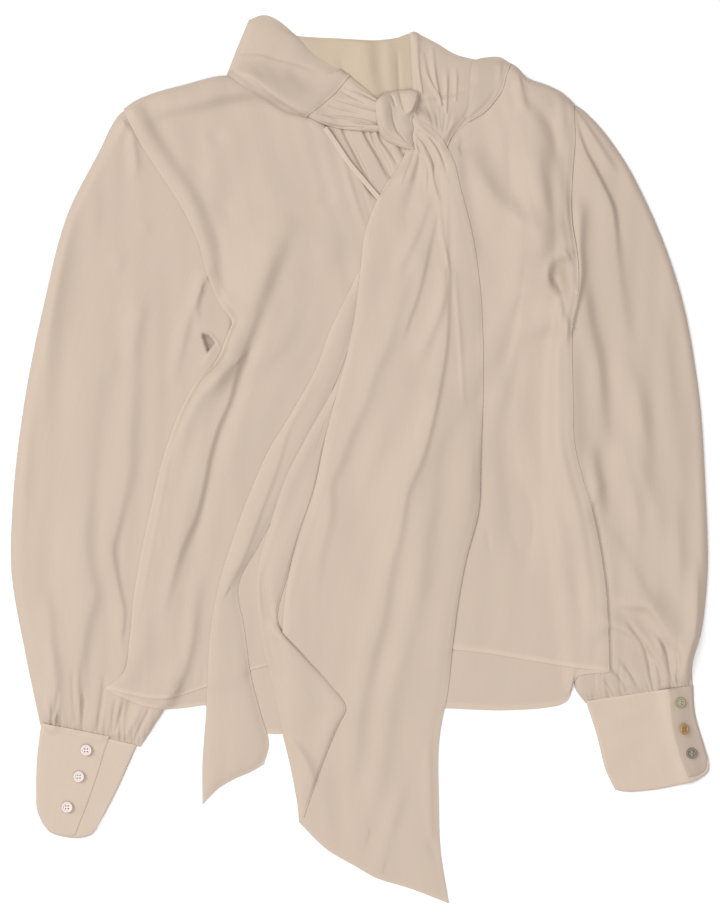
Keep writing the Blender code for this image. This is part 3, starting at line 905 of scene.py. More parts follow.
@dataclass
class Cuff:
    """Deep interfaced cuff: a flat tube, with its overlap lying on it."""

    name: str
    outline: Outline
    lap: Outline
    depth: float = 2.4          # height of its upper side
    seam: float = 0.9           # height of the side folds
    rounding: float = 3.5       # width of the rounding at the side folds
    rounding_top: float = 2.5
    rounding_bottom: float = 1.5
    seam_line: float = 1.4      # the sleeve's seam stands up this far below the top
    ridge: tuple[Fold, ...] = ()
    light: float = 0.07         # added lightness of the whole cuff
    # lightness of the overlap; a value below 0 is painted shade
    lap_tone_and_painted_shade: float = 0.07
    rows: int = 64
    columns: int = 50

    def build(self, pile: Pile, dresser: Dresser) -> list[bpy.types.Object]:
        """Lay the flat tube, then the overlap, which follows the tube's rounded edge.

        Args:
            pile: cloth already laid.
            dresser: makes the finished pieces.

        Returns:
            The cuff and its overlap.
        """
        v = tight(np.linspace(0.0, 1.0, self.rows), 0.002)
        plan = self.outline.plan(crowd(self.columns, 0.1), v)
        edge = inset(plan)
        side = rounded(np.minimum(edge["left"], edge["right"]), self.rounding)
        turned = 0.55 + 0.45 * rounded(edge["bottom"], self.rounding_bottom)
        turned = turned * (0.72 + 0.28 * rounded(edge["top"], self.rounding_top))
        wave = ripple(*grain(plan), 31, (60.0, 45.0), 0.12) + sum(fold.rise(plan) for fold in self.ridge)
        wave = wave + 0.25 * bell(edge["top"] - self.seam_line, 1.3)
        upper = self.seam + (self.depth * turned - self.seam) * side + wave * side
        surface, count = close_tube(self.outline, np.dstack([plan, upper]), v, self.seam, 3.0, (14, 0.02))
        # painted highlight: a light band along the top seam
        tone_and_painted_light = self.light + 0.08 * np.pad(bell(edge["top"], 2.2), ((0, 0), (0, count)))
        tube = dresser.cloth_piece(self.name, surface, tone_and_painted_light, wrap=True)
        pile.lay(plan, upper)
        return [tube, self.overlap(pile, dresser)]

    def overlap(self, pile: Pile, dresser: Dresser) -> bpy.types.Object:
        """Lay the overlap on the tube, with a stitched line along both sides.

        Args:
            pile: cloth already laid.
            dresser: makes the finished piece.

        Returns:
            The overlap.
        """
        plan = self.lap.even(1.5)
        edge = inset(plan)
        height = pile.support(plan, 1.0) + GAP + WALL
        height = height + 0.3 * rounded(np.minimum.reduce(list(edge.values())), 2.0)
        stitch = bell(np.minimum(edge["right"], edge["left"]) - 4.0, 0.7)
        tone_and_painted_light = np.full(plan.shape[:2], self.lap_tone_and_painted_shade)
        surface = np.dstack([plan, height - 0.12 * stitch])
        piece = dresser.cloth_piece(f"{self.name}_lap", surface, tone_and_painted_light)
        pile.lay(plan, height)
        return piece


@dataclass
class Panel:
    """One cut sheet: what it adds to the cloth below it."""

    name: str
    outline: Outline
    rests_on: tuple[str, ...]
    folds: tuple[Fold, ...] = ()
    cell: float = 2.2           # width of a cell
    tall: float = 1.5           # height of a cell over its width
    focus: tuple[float, float] = (0.0, 0.0)     # where along u and v the cells are smallest, if anywhere
    loft: float = 2.0           # air under the middle of the sheet
    low: float = 0.1            # air under its edges
    roll: tuple[float, ...] = (8.0, 8.0, 8.0, 8.0)      # rounding at left, right, top, bottom
    hems: tuple[tuple[str, float, float], ...] = ()     # edge, width, added lightness
    stitched: float = 0.6       # a hem's stitches lie this far inside its width
    sewn_from: float = 2.5      # hems as wide as this show their stitches
    uneven: float = 0.25
    seed: int = 1
    soft: float = 1.5           # blur of what shows through from below, in cells of the pile
    stop: float = 0.15          # softness with which valleys stop on the support
    sewn: tuple[tuple[str, float, float], ...] = ()     # edge sewn level, down to this y, dip beside it
    inside: bool = False        # the cloth's wrong side shows
    held: str = "laid"
    fullness: float = 1.0
    painted_shade: float = 0.0          # painted shade: the whole sheet drawn darker, or lighter where above 0
    painted_crease_shade: tuple[Fold, ...] = ()      # painted shade: darker lines along creases and under lapped edges

    def rise(self, plan: Points) -> Points:
        """Height over the support: lofted middle, edges rounded down, folds and slight unevenness.

        The folds' valleys are stopped softly, by a logarithm of 1 plus e to the height, at the support.

        Args:
            plan: the sheet's plan points.

        Returns:
            Heights in millimetres.
        """
        edge = inset(plan)
        keys = ("left", "right", "top", "bottom")
        banks = [1.0 - np.exp(-edge[key] / size) for key, size in zip(keys, self.roll) if size > 0]
        bank = np.prod(banks, axis=0)
        across, down = grain(plan)
        relief = sum((fold.rise(plan) for fold in self.folds), np.zeros(plan.shape[:2]))
        relief = relief + ripple(across, down, self.seed, (34.0, 300.0), 0.5 * self.uneven)
        relief = relief + ripple(across, down, self.seed + 50, (85.0, 120.0), self.uneven)
        height = self.low + (self.loft - self.low) * bank + relief * (0.25 + 0.75 * bank)
        return self.stop * np.logaddexp(0.0, (height - 0.2) / self.stop)

    def hem(self, plan: Points) -> tuple[Points, Points]:
        """Turned hems: a step one wall high with a stitched line; and the sheet's lightness, with lighter
        hems, painted shade and painted highlights.

        Args:
            plan: the sheet's plan points.

        Returns:
            Extra height, and what each point adds to the cloth's lightness, painted shade and painted
            highlights among it.
        """
        edge = inset(plan)
        height, tone_and_painted_light = np.zeros(plan.shape[:2]), np.full(plan.shape[:2], self.painted_shade)
        for key, width, light in self.hems:
            band = 1.0 - smooth((edge[key] - width) / 1.2)
            height = height + 0.3 * band - 0.25 * bell(edge[key] - width + self.stitched, 0.8)
            # a hem band is drawn lighter for its doubled cloth and as painted highlight on the turned edge;
            # a band below 0 is painted shade
            tone_and_painted_light = tone_and_painted_light + light * band
        # painted highlight: a light line along each sewn edge
        for key, _, _ in self.sewn:
            tone_and_painted_light = tone_and_painted_light + 0.07 * bell(edge[key], 1.6)
        # painted shade along the creases
        return height, tone_and_painted_light + sum(fold.rise(plan) for fold in self.painted_crease_shade)

    def upper(self, pile: Pile, plan: Points) -> Points:
        """Height of the sheet's upper side on the pile as it is now, brought level at its sewn edges.

        Args:
            pile: cloth already laid.
            plan: the sheet's plan points.

        Returns:
            Heights in millimetres.
        """
        height = pile.support(plan, self.soft) + GAP + WALL + self.rise(plan) + self.hem(plan)[0]
        for key, end, dip in self.sewn:
            rim = plan[:, :1] if key == "left" else plan[:, -1:]
            level = pile.close(rim) + GAP + WALL
            away, part = inset(plan)[key], smooth((rim[..., 1] - end) / 8.0)
            height = height + (level - height) * (1.0 - smooth(away / 7.0)) * part
            height = height - dip * bell(away - 10.0, 6.5) * part
        return np.maximum(np.maximum(height, pile.close(plan) + GAP + WALL), FLOOR_CLEAR + WALL + 0.05)

    def finish(self, plan: Points, upper: Points, pile: Pile, dresser: Dresser) -> bpy.types.Object:
        """Make the finished piece of the sheet and raise the pile to it.

        Args:
            plan: the sheet's plan points.
            upper: height of its upper side.
            pile: cloth already laid.
            dresser: makes the finished piece.

        Returns:
            The piece.
        """
        surface = np.dstack([plan, upper])
        piece = dresser.cloth_piece(self.name, surface, self.hem(plan)[1],
                                    inside=self.inside)
        for key, width, _ in self.hems:
            if width >= self.sewn_from:
                line = beside(surface, inset(plan), key, width - self.stitched)
                dresser.stitch(f"{self.name}_stitches_{key}", line)
        pile.lay(plan, upper)
        return piece

    def build(self, pile: Pile, dresser: Dresser) -> bpy.types.Object:
        """Lay the sheet on the pile."""
        plan = self.outline.even(self.cell, self.focus, self.tall)
        return self.finish(plan, self.upper(pile, plan), pile, dresser)


RIDGE, VALLEY, LAP = Profile

LEFT_SLEEVE_FOLDS = (
    Fold(((-256, 262), (-264, 244), (-270, 222), (-275, 198), (-281, 164), (-287, 121), (-291, 78),
          (-294, 40), (-292, 10)), LAP, (0, 2.4, 3, 3, 2.6, 1.6, 0), 13, 10),
    Fold(((-303, 17), (-313, -24), (-306, -61)), LAP, (0, 1.4, 0), 12, 9),
    Fold(((-234, 136), (-238, 104), (-242, 69), (-246, 30), (-249, -9), (-252, -48), (-254, -79),
          (-250, -111), (-247, -128), (-254, -155), (-259, -183), (-262, -222)), LAP,
         (0, 2.1, 2.8, 3.4, 3.8, 3.3), (22, 18), (10.8, 9.5, 6.8)),
    Fold(((-184, 188), (-191, 173), (-199, 150), (-203, 126), (-207, 98), (-209, 64), (-213, 30),
          (-215, -13), (-223, -48), (-228, -69), (-232, -85), (-230, -104), (-226, -126), (-222, -146),
          (-223, -159)), LAP, (0, 1.5, 1.9, 2.3, 2.6, 3, 1.6), (16, 16, 12), (10.8, 10.8, 8.1, 4.1, 2.4)),
    Fold(((-296, -113), (-290, -144), (-288, -177), (-284, -205), (-284, -227), (-286, -240)), LAP,
         (0, 2.8, 3.8, 3.8), 10, 6.8),
    Fold(((-303, -205), (-296, -231), (-289, -246)), LAP, (0, 2.4, 2.8), 7, 4.7),
    Fold(((-197, 227), (-201, 208)), LAP, (0, 0.9, 0), 8, 5.4),
    Fold(((-221, 199), (-227, 169)), LAP, (0, 0.9, 0), 8, 5.4),
    Fold(((-145, 169), (-151, 154), (-158, 136), (-162, 121), (-167, 100), (-171, 82), (-173, 61)), LAP,
         (1.8, 1.8, 1.6, 1.2, 0), 8, (3.4, 4.1, 6)),
    Fold(((-151, 119), (-144, 118), (-138, 113), (-134, 108), (-131, 102)), RIDGE, (0.5, 1.3, 1.2, 0), 1.3,
         1.6),
    Fold(((-136, 110), (-143, 100), (-147, 93), (-152, 85)), LAP, (0.5, 1.5, 1.2, 0), 2, 6),
    Fold(((-149, 158), (-152, 146), (-151, 124)), LAP, (1.9, 1.4, 0), 5, 2.7),
    Fold(((-219, 322), (-221, 313), (-224, 305), (-226, 290)), LAP, (1, 0.8, 0), 4, 3.4),
    Fold(((-219, 315), (-213, 307), (-211, 294), (-209, 277), (-213, 255)), LAP, (2.4, 2.4, 0), 6, 4.1),
    Fold(((-207, 320), (-201, 309)), LAP, (1.2, 0), 4, 2.7),
    Fold(((-268, -20), (-272, -90), (-274, -170)), RIDGE, (0, 1.9, 0), 16.8, 16.8),
    Fold(((-201, 326), (-193, 312), (-184, 294)), LAP, (0, 1, 0), 5, 8),
    Fold(((-244, 262), (-246, 230), (-248, 200)), LAP, (0, 0.9, 0), 9, 6),
    Fold(((-197, 158), (-203, 138), (-209, 110), (-214, 80)), LAP, (0, 1.3, 1.3, 0), 9, 6),
    Fold(((-226, 120), (-229, 90), (-232, 60)), LAP, (0, 1.2, 0), 9, 7),
    Fold(((-271, -192), (-271, -215), (-270, -234), (-269, -250)), VALLEY, (0, 0.96, 1.2, 0.96), 2, 2.2),
    Fold(((-262, -186), (-263, -212), (-261.5, -240), (-260.5, -254)), VALLEY, (0, 1.08, 1.26, 0.9), 3, 3),
    Fold(((-241, -200), (-243, -226), (-246, -246), (-249, -258)), VALLEY, (0, 1.5, 1.8, 1.5), 2, 2.4),
    Fold(((-284, -214), (-287, -232), (-290, -250)), VALLEY, (0, 1.35, 1.2), 2.2, 2.4),
    Fold(((-200, -240), (-206, -252), (-214, -270)), VALLEY, (0.75, 1.5, 1.2), 1.8, 2),
    Fold(((-206, -234), (-213, -248), (-221, -263)), RIDGE, (0, 1.4, 0.8), 2.6, 2.6),
    Fold(((-229, -220), (-232, -236), (-235, -258)), VALLEY, (0, 1.5, 1.35), 1.6, 2),
    Fold(((-222, -226), (-226, -240), (-231, -258)), VALLEY, (0, 1.2, 1.35), 1.6, 2),
    Fold(((-212, -222), (-218, -236), (-224, -252)), VALLEY, (0.6, 2.6, 1), 6, 6),
)
RIGHT_SLEEVE_FOLDS = (
    Fold(((203, 329), (213, 295), (229, 263), (241, 236), (244, 214), (247, 186), (251, 156), (259, 121),
          (266, 100), (273, 80)), LAP, (1.6, 3.2, 4.2, 4.8, 3.8, 2.8, 2.2, 1.6, 0), 16.1,
         (2.4, 2.4, 3, 6, 9, 9)),
    Fold(((214, 250), (212, 222), (211, 197), (212, 174), (207.5, 150), (202, 126)), LAP,
         (0, 3.6, 3.8, 4.2, 4.4, 4), 7, (7, 4.5, 2.6)),
    Fold(((215, 176), (218, 150), (221, 130), (230, 90), (235, 41), (240, 0)), LAP,
         (0, 4, 4.8, 4.8, 3.4, 0), 12, (7, 8, 9)),
    Fold(((213, -16), (223, -53), (236, -132), (238, -173), (239, -199)), VALLEY, (0.5, 1.6, 1.6, 1.2), 1.2,
         4),
    Fold(((252, 40), (264, 6), (278, -27), (288, -64), (290, -84)), LAP, (0, 3.4, 4.4, 3, 0), 17, 11),
    Fold(((238, -20), (228, -32), (224, -40)), LAP, (0, 1.4, 1.2), 9.2, 6.8),
    Fold(((236, -56), (245.5, -76), (264, -109), (278, -137), (286, -160)), LAP, (0, 1, 1.5, 1.5, 1), 11,
         (7, 6)),
    Fold(((236, -137), (254, -142), (272, -144), (282, -155), (292, -173), (300, -182), (302, -200)), LAP,
         (1.28, 3.84, 5.12, 5.12, 3.84, 2.56), 5.4, 13.8),
    Fold(((238, -160), (254, -167), (269, -180), (280, -193), (288, -208)), LAP,
         (2.56, 3.84, 3.84, 2.56, 1.28), 4.1, 10.3),
    Fold(((321, -88), (322, -129), (321, -167), (315, -199)), LAP, (0, 2.91, 3.64, 2.91), 9.2, 4.71),
    Fold(((208, 327), (225, 302), (240, 279), (249, 266)), LAP, (2, 2.6, 2.2, 0), 6.9, (2.6, 4)),
    Fold(((254, 110), (262, 84), (270, 50), (277, 10), (282, -30)), LAP, (0, 3.9, 5.2, 3.9, 0), 14, 10.35),
    Fold(((282, 150), (292, 112), (299, 70), (303, 20), (304, -30)), LAP, (0, 1.35, 1.77, 1.35, 0), 14,
         9.2),
    Fold(((252, 20), (258, -14), (266, -50), (270, -84)), LAP, (0, 3, 3, 0), 12, 8),
    Fold(((300, -20), (304, -60), (307, -100), (306, -140)), LAP, (0, 1.95, 2.6, 0), 12, 8.05),
    Fold(((222, 20), (226, -8), (231, -34), (236, -60)), LAP, (0, 2.4, 2.4, 0), 8, 6),
    Fold(((250, -150), (262, -166), (270, -178), (274, -190), (277, -206), (280, -216)), VALLEY,
         (0, 2.4, 3, 2.6, 1.6), 2.2, 2.4),
    Fold(((264, -170), (274, -184), (283, -197), (287, -214)), VALLEY, (0, 1.8, 2.4, 1.6), 2, 2.4),
    Fold(((282, -166), (291, -182), (294, -198), (297, -216)), VALLEY, (0, 2, 2.6, 1.6), 2, 2.6),
    Fold(((301, -172), (302, -188), (302, -214)), VALLEY, (0, 2.2, 1.6), 2, 2.4),
    Fold(((320, -168), (317, -186), (314, -212)), VALLEY, (0, 2.4, 1.6), 2.2, 2.4),
    Fold(((244, -188), (255, -200), (264, -216)), VALLEY, (0, 2.4, 1.6), 2, 2.4),
    Fold(((234, -196), (246, -206), (254, -220)), VALLEY, (0, 2, 1.4), 1.8, 2),
    Fold(((228, -204), (236, -214), (242, -226)), VALLEY, (0, 1.6, 1.2), 1.6, 1.8),
    Fold(((277, -166), (285, -178), (289, -190)), RIDGE, (0, 2.4, 0), 2.6, 2.6),
    Fold(((200, 290), (200, 250), (199, 220), (198, 185), (197, 160), (196, 124), (196, 80), (198, 40),
          (199, 5), (204, -25), (209, -60), (215, -95), (221, -140), (223, -185)), RIDGE,
         (0, 3, 5.5, 7, 7.5, 8, 8.5, 8.5, 8, 7, 6.5, 6, 5, 3), 14, 22),
)
# painted shade: darker lines on the front along its creases and under the collar and tail
FRONT_PAINTED_SHADE = (
    Fold(((-108, 350), (-103, 346.5), (-88, 337.5), (-70, 326.5), (-52, 321.5)), VALLEY,
         (0, 0.08, 0.12, 0.12, 0.1), 2.2, 2),
    Fold(((-160, 336), (-128, 341), (-105, 343), (-85, 337)), VALLEY, (0.03, 0.08, 0.1, 0.04), 6, 4),
    Fold(((-62, 220), (-84, 165), (-100, 125), (-116, 95), (-150, 50)), VALLEY,
         (0.02, 0.05, 0.08, 0.05, 0.02), 7, 8),
    Fold(((194, 335), (196, 300), (192, 230), (188, 200), (196, 165), (200, 130)), VALLEY,
         (0.07, 0.08, 0.03, 0.08, 0.1, 0.08), 7, 9),
    Fold(((84, 296), (90, 275), (97, 252), (104, 225)), VALLEY, (0.08, 0.1, 0.08, 0.03), 3, 7),
)
FRONT_FOLDS = (
    Fold(((-166, 62), (-178, 6), (-192, -69), (-206, -139), (-219, -195), (-222, -220)), LAP, 1, 5.5, 1.7),
    Fold(((-190, -70), (-184, -84)), RIDGE, (0, 0.9, 0), 2, 2),
    Fold(((-184, -69), (-178, -83)), RIDGE, (0, 0.9, 0), 2, 2),
    Fold(((-189, -88), (-176, -90)), RIDGE, (0, 0.9, 0), 2, 2),
    Fold(((-196, -20), (-186, -30), (-176, -28)), RIDGE, (0, 1.3, 0), 3.9, 3.9),
    Fold(((-53, 264), (-63, 234), (-67, 213), (-77, 186), (-88, 155), (-97, 128), (-110, 95), (-114, 83),
          (-122, 54), (-133, 28), (-141, 1), (-145, -20), (-154, -57), (-167, -87), (-176, -118),
          (-182, -142), (-184, -165)), LAP, (0, 1.95, 2.63, 3.31, 4, 4.42, 4.42, 4.42, 4.42, 3.74, 2.63, 0),
         (26.4, 22, 17.6), (16.8, 12.6, 7, 3.6, 3.1, 3.1, 4.2, 5.6)),
    Fold(((-40, 240), (-52, 205), (-70, 160), (-92, 100), (-104, 55), (-120, 5), (-134, -50), (-152, -100)),
         RIDGE, (0, 2.21, 3.31, 3.31, 2.72, 2.21, 0), 11.7, 23.4),
    Fold(((-118, 87), (-132, 72), (-150, 52), (-161, 30), (-170, 2), (-178, -9)), LAP,
         (2.87, 4.3, 4.3, 2.87, 1.43, 0), 15.4, 7),
    Fold(((-5, 213), (-23, 184), (-36, 165)), LAP, (0, 2.6, 0), 17.6, 12.6),
    Fold(((-38, 254), (-25, 238)), VALLEY, (0, 1.3, 0), 7.8, 7.8),
    Fold(((-145, -104), (-152, -135), (-156, -170), (-165, -205), (-170, -216)), LAP,
         (0, 2.21, 3.31, 4.42, 4.42), 11, (8.4, 5.6, 4.2)),
    Fold(((-213, -187), (-207, -209)), VALLEY, (0, 2.6, 1.3), 7.8, 6.5),
    Fold(((-158, 233), (-137, 206), (-133, 184), (-132, 160), (-132, 132)), VALLEY, (0, 2, 2.6, 2.6, 0),
         7.8, 7.8),
    Fold(((-126, 165), (-124, 128)), RIDGE, (0, 2.6, 0), 5.2, 7.8),
    Fold(((-142, 314), (-130, 295)), VALLEY, (0, 1.3, 0), 6.5, 6.5),
    Fold(((-167, 283), (-143, 262)), VALLEY, (0, 1.3, 0), 7.8, 7.8),
    Fold(((-137, 251), (-116, 219)), VALLEY, (0, 1.3, 0), 7.8, 7.8),
    Fold(((109, 303), (115, 280), (126, 260), (135, 247), (148, 235), (162, 224), (175, 218), (196, 211)),
         LAP, (0, 4.88, 7.38, 7.38, 5.62, 4, 0), 22, 12.6),
    Fold(((172, 302), (174, 289), (175, 271), (179, 250), (183, 227), (188, 206), (193, 198)), LAP,
         (0, 3.25, 4.88, 4.88, 2.5), 13.2, 8.4),
    Fold(((159, 340), (171, 329), (183, 312), (193, 276), (197, 262)), VALLEY, (1.3, 2.6, 2.6, 0), 6.5,
         6.5),
    Fold(((154, 352), (158, 336), (162, 324)), LAP, (2.6, 2.6, 0), 6.6, 4.2),
    Fold(((181, 172), (183, 184), (190, 190), (203, 192)), RIDGE, (2.6, 3.9, 3.9, 2.6), 3.9, 5.2),
    Fold(((184, 182), (185, 171), (190, 161)), VALLEY, (3.9, 10.4, 5.2), 4.5, 6.5),
    Fold(((189, 160), (193, 138), (200, 122)), LAP, (3.9, 5.2, 4.5), 8.8, 2.8),
    Fold(((193, 136), (195, 101)), VALLEY, (3.2, 0), 3.2, 3.2),
    Fold(((209, 160), (206, 142), (201, 125)), RIDGE, (0, 2, 2), 9.1, 2.6),
    Fold(((151, 157), (162, 140), (175, 122)), VALLEY, (0, 2, 0), 11.7, 11.7),
    Fold(((151, 118), (144, 83), (142, 48)), VALLEY, (0, 2, 0), 11.7, 11.7),
    Fold(((138, 36), (143, -2), (147, -59), (149, -116)), VALLEY, (0, 3, 2.6, 0), 15, 15),
    Fold(((-214, -190), (-212, -218)), VALLEY, (0, 1, 1.2), 2.2, 2.2),
    Fold(((-206, -188), (-205, -220)), VALLEY, (0, 0.8, 1.2), 1.8, 1.8),
    Fold(((-199, -196), (-197, -222)), VALLEY, (0, 0.7, 1), 1.8, 1.8),
    Fold(((-156, -196), (-158, -216)), VALLEY, (0, 0.8, 1), 1.8, 1.8),
    Fold(((-147, -196), (-149, -214)), VALLEY, (0, 0.6, 0.8), 1.8, 1.8),
    Fold(((226, -138), (227, -166), (227, -193)), RIDGE, (0, 0.9, 0.4), 4, 4),
    Fold(((158, -4), (159, -60), (161, -118)), VALLEY, (0, 2.8, 0), 11, 11),
    Fold(((204, -92), (208, -130), (213, -170)), VALLEY, (0, 1.6, 0), 6, 6),
    Fold(((180, -20), (184, -80), (188, -150)), RIDGE, (0, 1.6, 0), 12, 12),
    Fold(((119, -59), (123, -83), (124, -97)), VALLEY, (0, 0.8, 0), 2, 2),
    Fold(((179, -45), (184, -66), (191, -97)), VALLEY, (0, 0.8, 0), 2, 2),
    Fold(((-58, 235), (-66, 205), (-77, 182), (-88, 160), (-95, 140), (-103, 120), (-112, 100), (-122, 80),
          (-140, 58)), LAP, (0, 3, 4.5, 5, 5, 4.5, 3.5, 2.5, 0), 20, 12),
    Fold(((96, 285), (98, 262), (103, 235), (109, 205), (113, 175)), LAP, (2, 3, 3, 2.5, 0), 14, 7),
    Fold(((-207, 317), (-188, 324), (-169, 329), (-149, 333), (-128, 338), (-108, 341), (-90, 341),
          (-75, 334), (-60, 325), (-48, 316)), LAP, (0.9, 3.6, 5, 6, 7, 6, 4, 2.5, 1.5, 0.8), 7.5, 16),
    Fold(((160, 352), (164, 325), (165, 300), (166, 280), (166, 240), (164, 210), (166, 185), (172, 165),
          (176, 150)), RIDGE, (2, 6, 7, 7, 8, 9, 8, 5, 0), 28, (20, 22, 26, 26, 20)),
    Fold(((172, 175), (174, 150), (176, 130), (180, 110)), RIDGE, (0, 6, 6, 0), 24, 14),
)
OVER_FOLDS = (
    Fold(((56, 309), (62, 307), (73, 295.5), (80, 280), (84, 264)), VALLEY, (0.88, 1.68, 1.68, 1.68, 0),
         1.3, 1.5),
    Fold(((54, 313), (58.5, 311), (68, 299), (75, 286), (78, 272)), RIDGE, (1.1, 1.6, 1.6, 1.1, 0), 2.2,
         2.2),
    Fold(((55, 305), (63, 296), (70, 280), (71, 264), (75, 249)), VALLEY, (0.88, 1.68, 1.84, 1.68, 0.4),
         1.3, 1.5),
    Fold(((54, 303), (57, 300), (63, 286), (69, 272), (72, 255), (77, 239)), RIDGE,
         (1.1, 1.6, 1.6, 1.3, 1.1, 0), 2.2, 2.2),
    Fold(((55, 299), (57, 286), (54, 268), (49, 249), (43, 230), (38, 212)), VALLEY,
         (0.9, 1.5, 1.6, 1.4, 0.8, 0), (2.2, 4, 6, 7), (2.2, 4, 6, 7)),
    Fold(((53, 300), (55, 293), (51, 274), (44, 255)), RIDGE, (1.1, 1.3, 1.2, 0), (2.2, 3.3), (2.2, 3.3)),
    Fold(((52, 298), (48, 292), (40, 277), (31, 262)), VALLEY, (1.1, 1.1, 0.8, 0), (1.7, 2.8), (1.7, 2.8)),
    Fold(((70, 274), (73, 260), (75, 248), (76, 234)), LAP, (0.8, 1.5, 1, 0), 5.5, 2.9),
    Fold(((67, 231), (63, 203), (57, 184), (48, 163), (38, 131), (29, 104), (19, 83), (8, 51), (-5, 23),
          (-18, -10), (-24, -21), (-25, -51), (-35, -97), (-40, -140)), LAP,
         (0, 2.25, 2.76, 2.76, 2.76, 2.6, 2.3, 1.8, 0), 15.4, (8.6, 8.6, 7, 6, 5)),
    Fold(((82, 172), (82, 155), (76, 131), (65, 104), (55, 79)), LAP, (1.2, 2.6, 2.2, 0), 7.7,
         (2.9, 4.8, 6.5)),
    Fold(((84, 258), (84, 217), (84, 184), (85, 142), (83, 105), (78, 72), (68, 25), (61, 0), (48, -30),
          (41, -69), (31, -111), (25, -154), (16, -188), (5, -239), (0, -291), (-12, -325)), LAP,
         (0.6, 1.4, 1.8, 2.4, 2.8, 2.8, 2.6, 2.6, 2.6, 2.6, 2.2, 0), (13.2, 15.4, 17.6),
         (2.6, 2.6, 3, 4.6, 7, 9, 10)),
    Fold(((42, 62), (31, 29), (15, -15), (8, -48)), LAP, (0, 2.1, 0), 11, 9.6),
    Fold(((91, 57), (82, 15), (77, -19), (71, -54), (65, -97), (59, -148), (48, -182), (37, -219),
          (28, -282), (11, -348)), LAP, (0, 2.5, 3.07, 3.07, 2.5, 2.5, 2.02, 1.06), 12.1, 10.75),
    Fold(((75, 250), (79, 206), (84, 184), (86, 142)), RIDGE, (0, 1.1, 1.1, 0), 2, 2),
    Fold(((88, 190), (92, 150), (95, 110), (97, 79), (99, 36)), RIDGE, (0, 0.8, 0.9, 0.8, 0), 2, 2.4),
    Fold(((51, -296), (37, -339), (25, -382)), LAP, (0, 1.6, 1.1), 8.8, 6.4),
    Fold(((65, -356), (76, -388)), VALLEY, (0, 1.6, 0), 4.4, 4.4),
    Fold(((66, -249), (67, -314), (70, -357), (79, -401)), RIDGE, (0, 1.6, 1.6, 0), 5.5, 4.4),
    Fold(((56, 316), (66, 307), (78, 293), (83, 281)), RIDGE, (0.8, 1, 0.8, 0), 1.6, 1.6),
    Fold(((53, 296), (60, 283), (63, 266), (62, 250)), RIDGE, (0.8, 1.2, 1.2, 0), 1.6, 1.8),
    Fold(((50, 294), (47, 284), (42, 270), (37, 256)), RIDGE, (0.8, 1.2, 1, 0), 1.6, 1.8),
    Fold(((78, 248), (74, 230), (68, 205), (63, 181), (55, 150), (46, 125), (38, 100)), LAP,
         (0, 1.6, 2.2, 2, 0), 9, 3),
    Fold(((72, 260), (63, 230), (53, 204), (43, 184), (36, 165)), LAP, (0, 1.4, 1.9, 1.4, 0), 8, 4),
    Fold(((88, 80), (82, 50), (74, 20), (68, -10), (62, -40), (58, -70), (50, -100), (38, -130)), LAP,
         (0, 3, 4, 4.5, 4.5, 4, 3, 0), 30, 22),
    Fold(((116, 60), (116, 20), (112, -10), (109, -40), (106, -70), (98, -100), (94, -130), (89, -160),
          (84, -190), (80, -225)), RIDGE, (0, 2.5, 3.2, 3.4, 3.4, 3, 2.6, 2, 1.6, 0), 24, 14),
)
TURNBACK_FOLDS = (
    Fold(((-86, -97), (-91, -116), (-87, -139), (-82, -154), (-73, -165)), VALLEY, (0, 2.4, 2.4, 0), 4, 4),
    Fold(((-72, -262), (-54, -277), (-40, -303)), LAP, (2.6, 3, 2), 6, 5.5),
    Fold(((-90, -107), (-90, -143), (-78, -206), (-72, -247)), VALLEY, (0, 1.8, 1.8, 0), 4, 5),
)
NECKBAND_BACK_FOLDS = (
    Fold(((11, 396), (14, 372), (20, 338)), LAP, (2.6, 3.4, 2.6), 14, 8),
    Fold(((26, 397), (28, 370), (31, 340)), RIDGE, (1, 1.2, 1), 5, 5),
    Fold(((-52, 396), (-48, 375), (-42, 345)), VALLEY, (0, 1, 1), 6, 6),
    Fold(((-20, 393), (-16, 370), (-6, 345)), VALLEY, (0, 0.8, 0.8), 4, 4),
    Fold(((-70, 394), (-19, 392), (8, 391)), VALLEY, 0.4, 0.9, 0.9),
    Fold(((36, 395), (37, 370), (38, 350)), VALLEY, (0, 1, 1), 2, 2),
)
NECKBAND_LEFT_FOLDS = (
    Fold(((-113, 384), (-96, 384), (-78, 379), (-53, 372), (-36, 364)), VALLEY, (1.2, 1.4, 1.2, 0), 1.8, 2),
    Fold(((-117, 365), (-100, 357), (-87.5, 346), (-70, 334), (-56, 325)), LAP, (1.6, 3.6, 4.2, 3.4), 2.2,
         9),
    Fold(((-84, 338), (-74, 334), (-62, 328)), VALLEY, (0, 1.6, 0.8), 1.6, 1.6),
    Fold(((-104, 376), (-94, 364), (-82, 352)), VALLEY, (0, 0.5, 0), 5, 5),
    Fold(((-88, 376), (-77, 361), (-66, 350)), VALLEY, (0, 0.5, 0), 5, 5),
    Fold(((-66, 376), (-58, 362), (-50, 354)), VALLEY, (0, 0.5, 0), 5, 5),
)
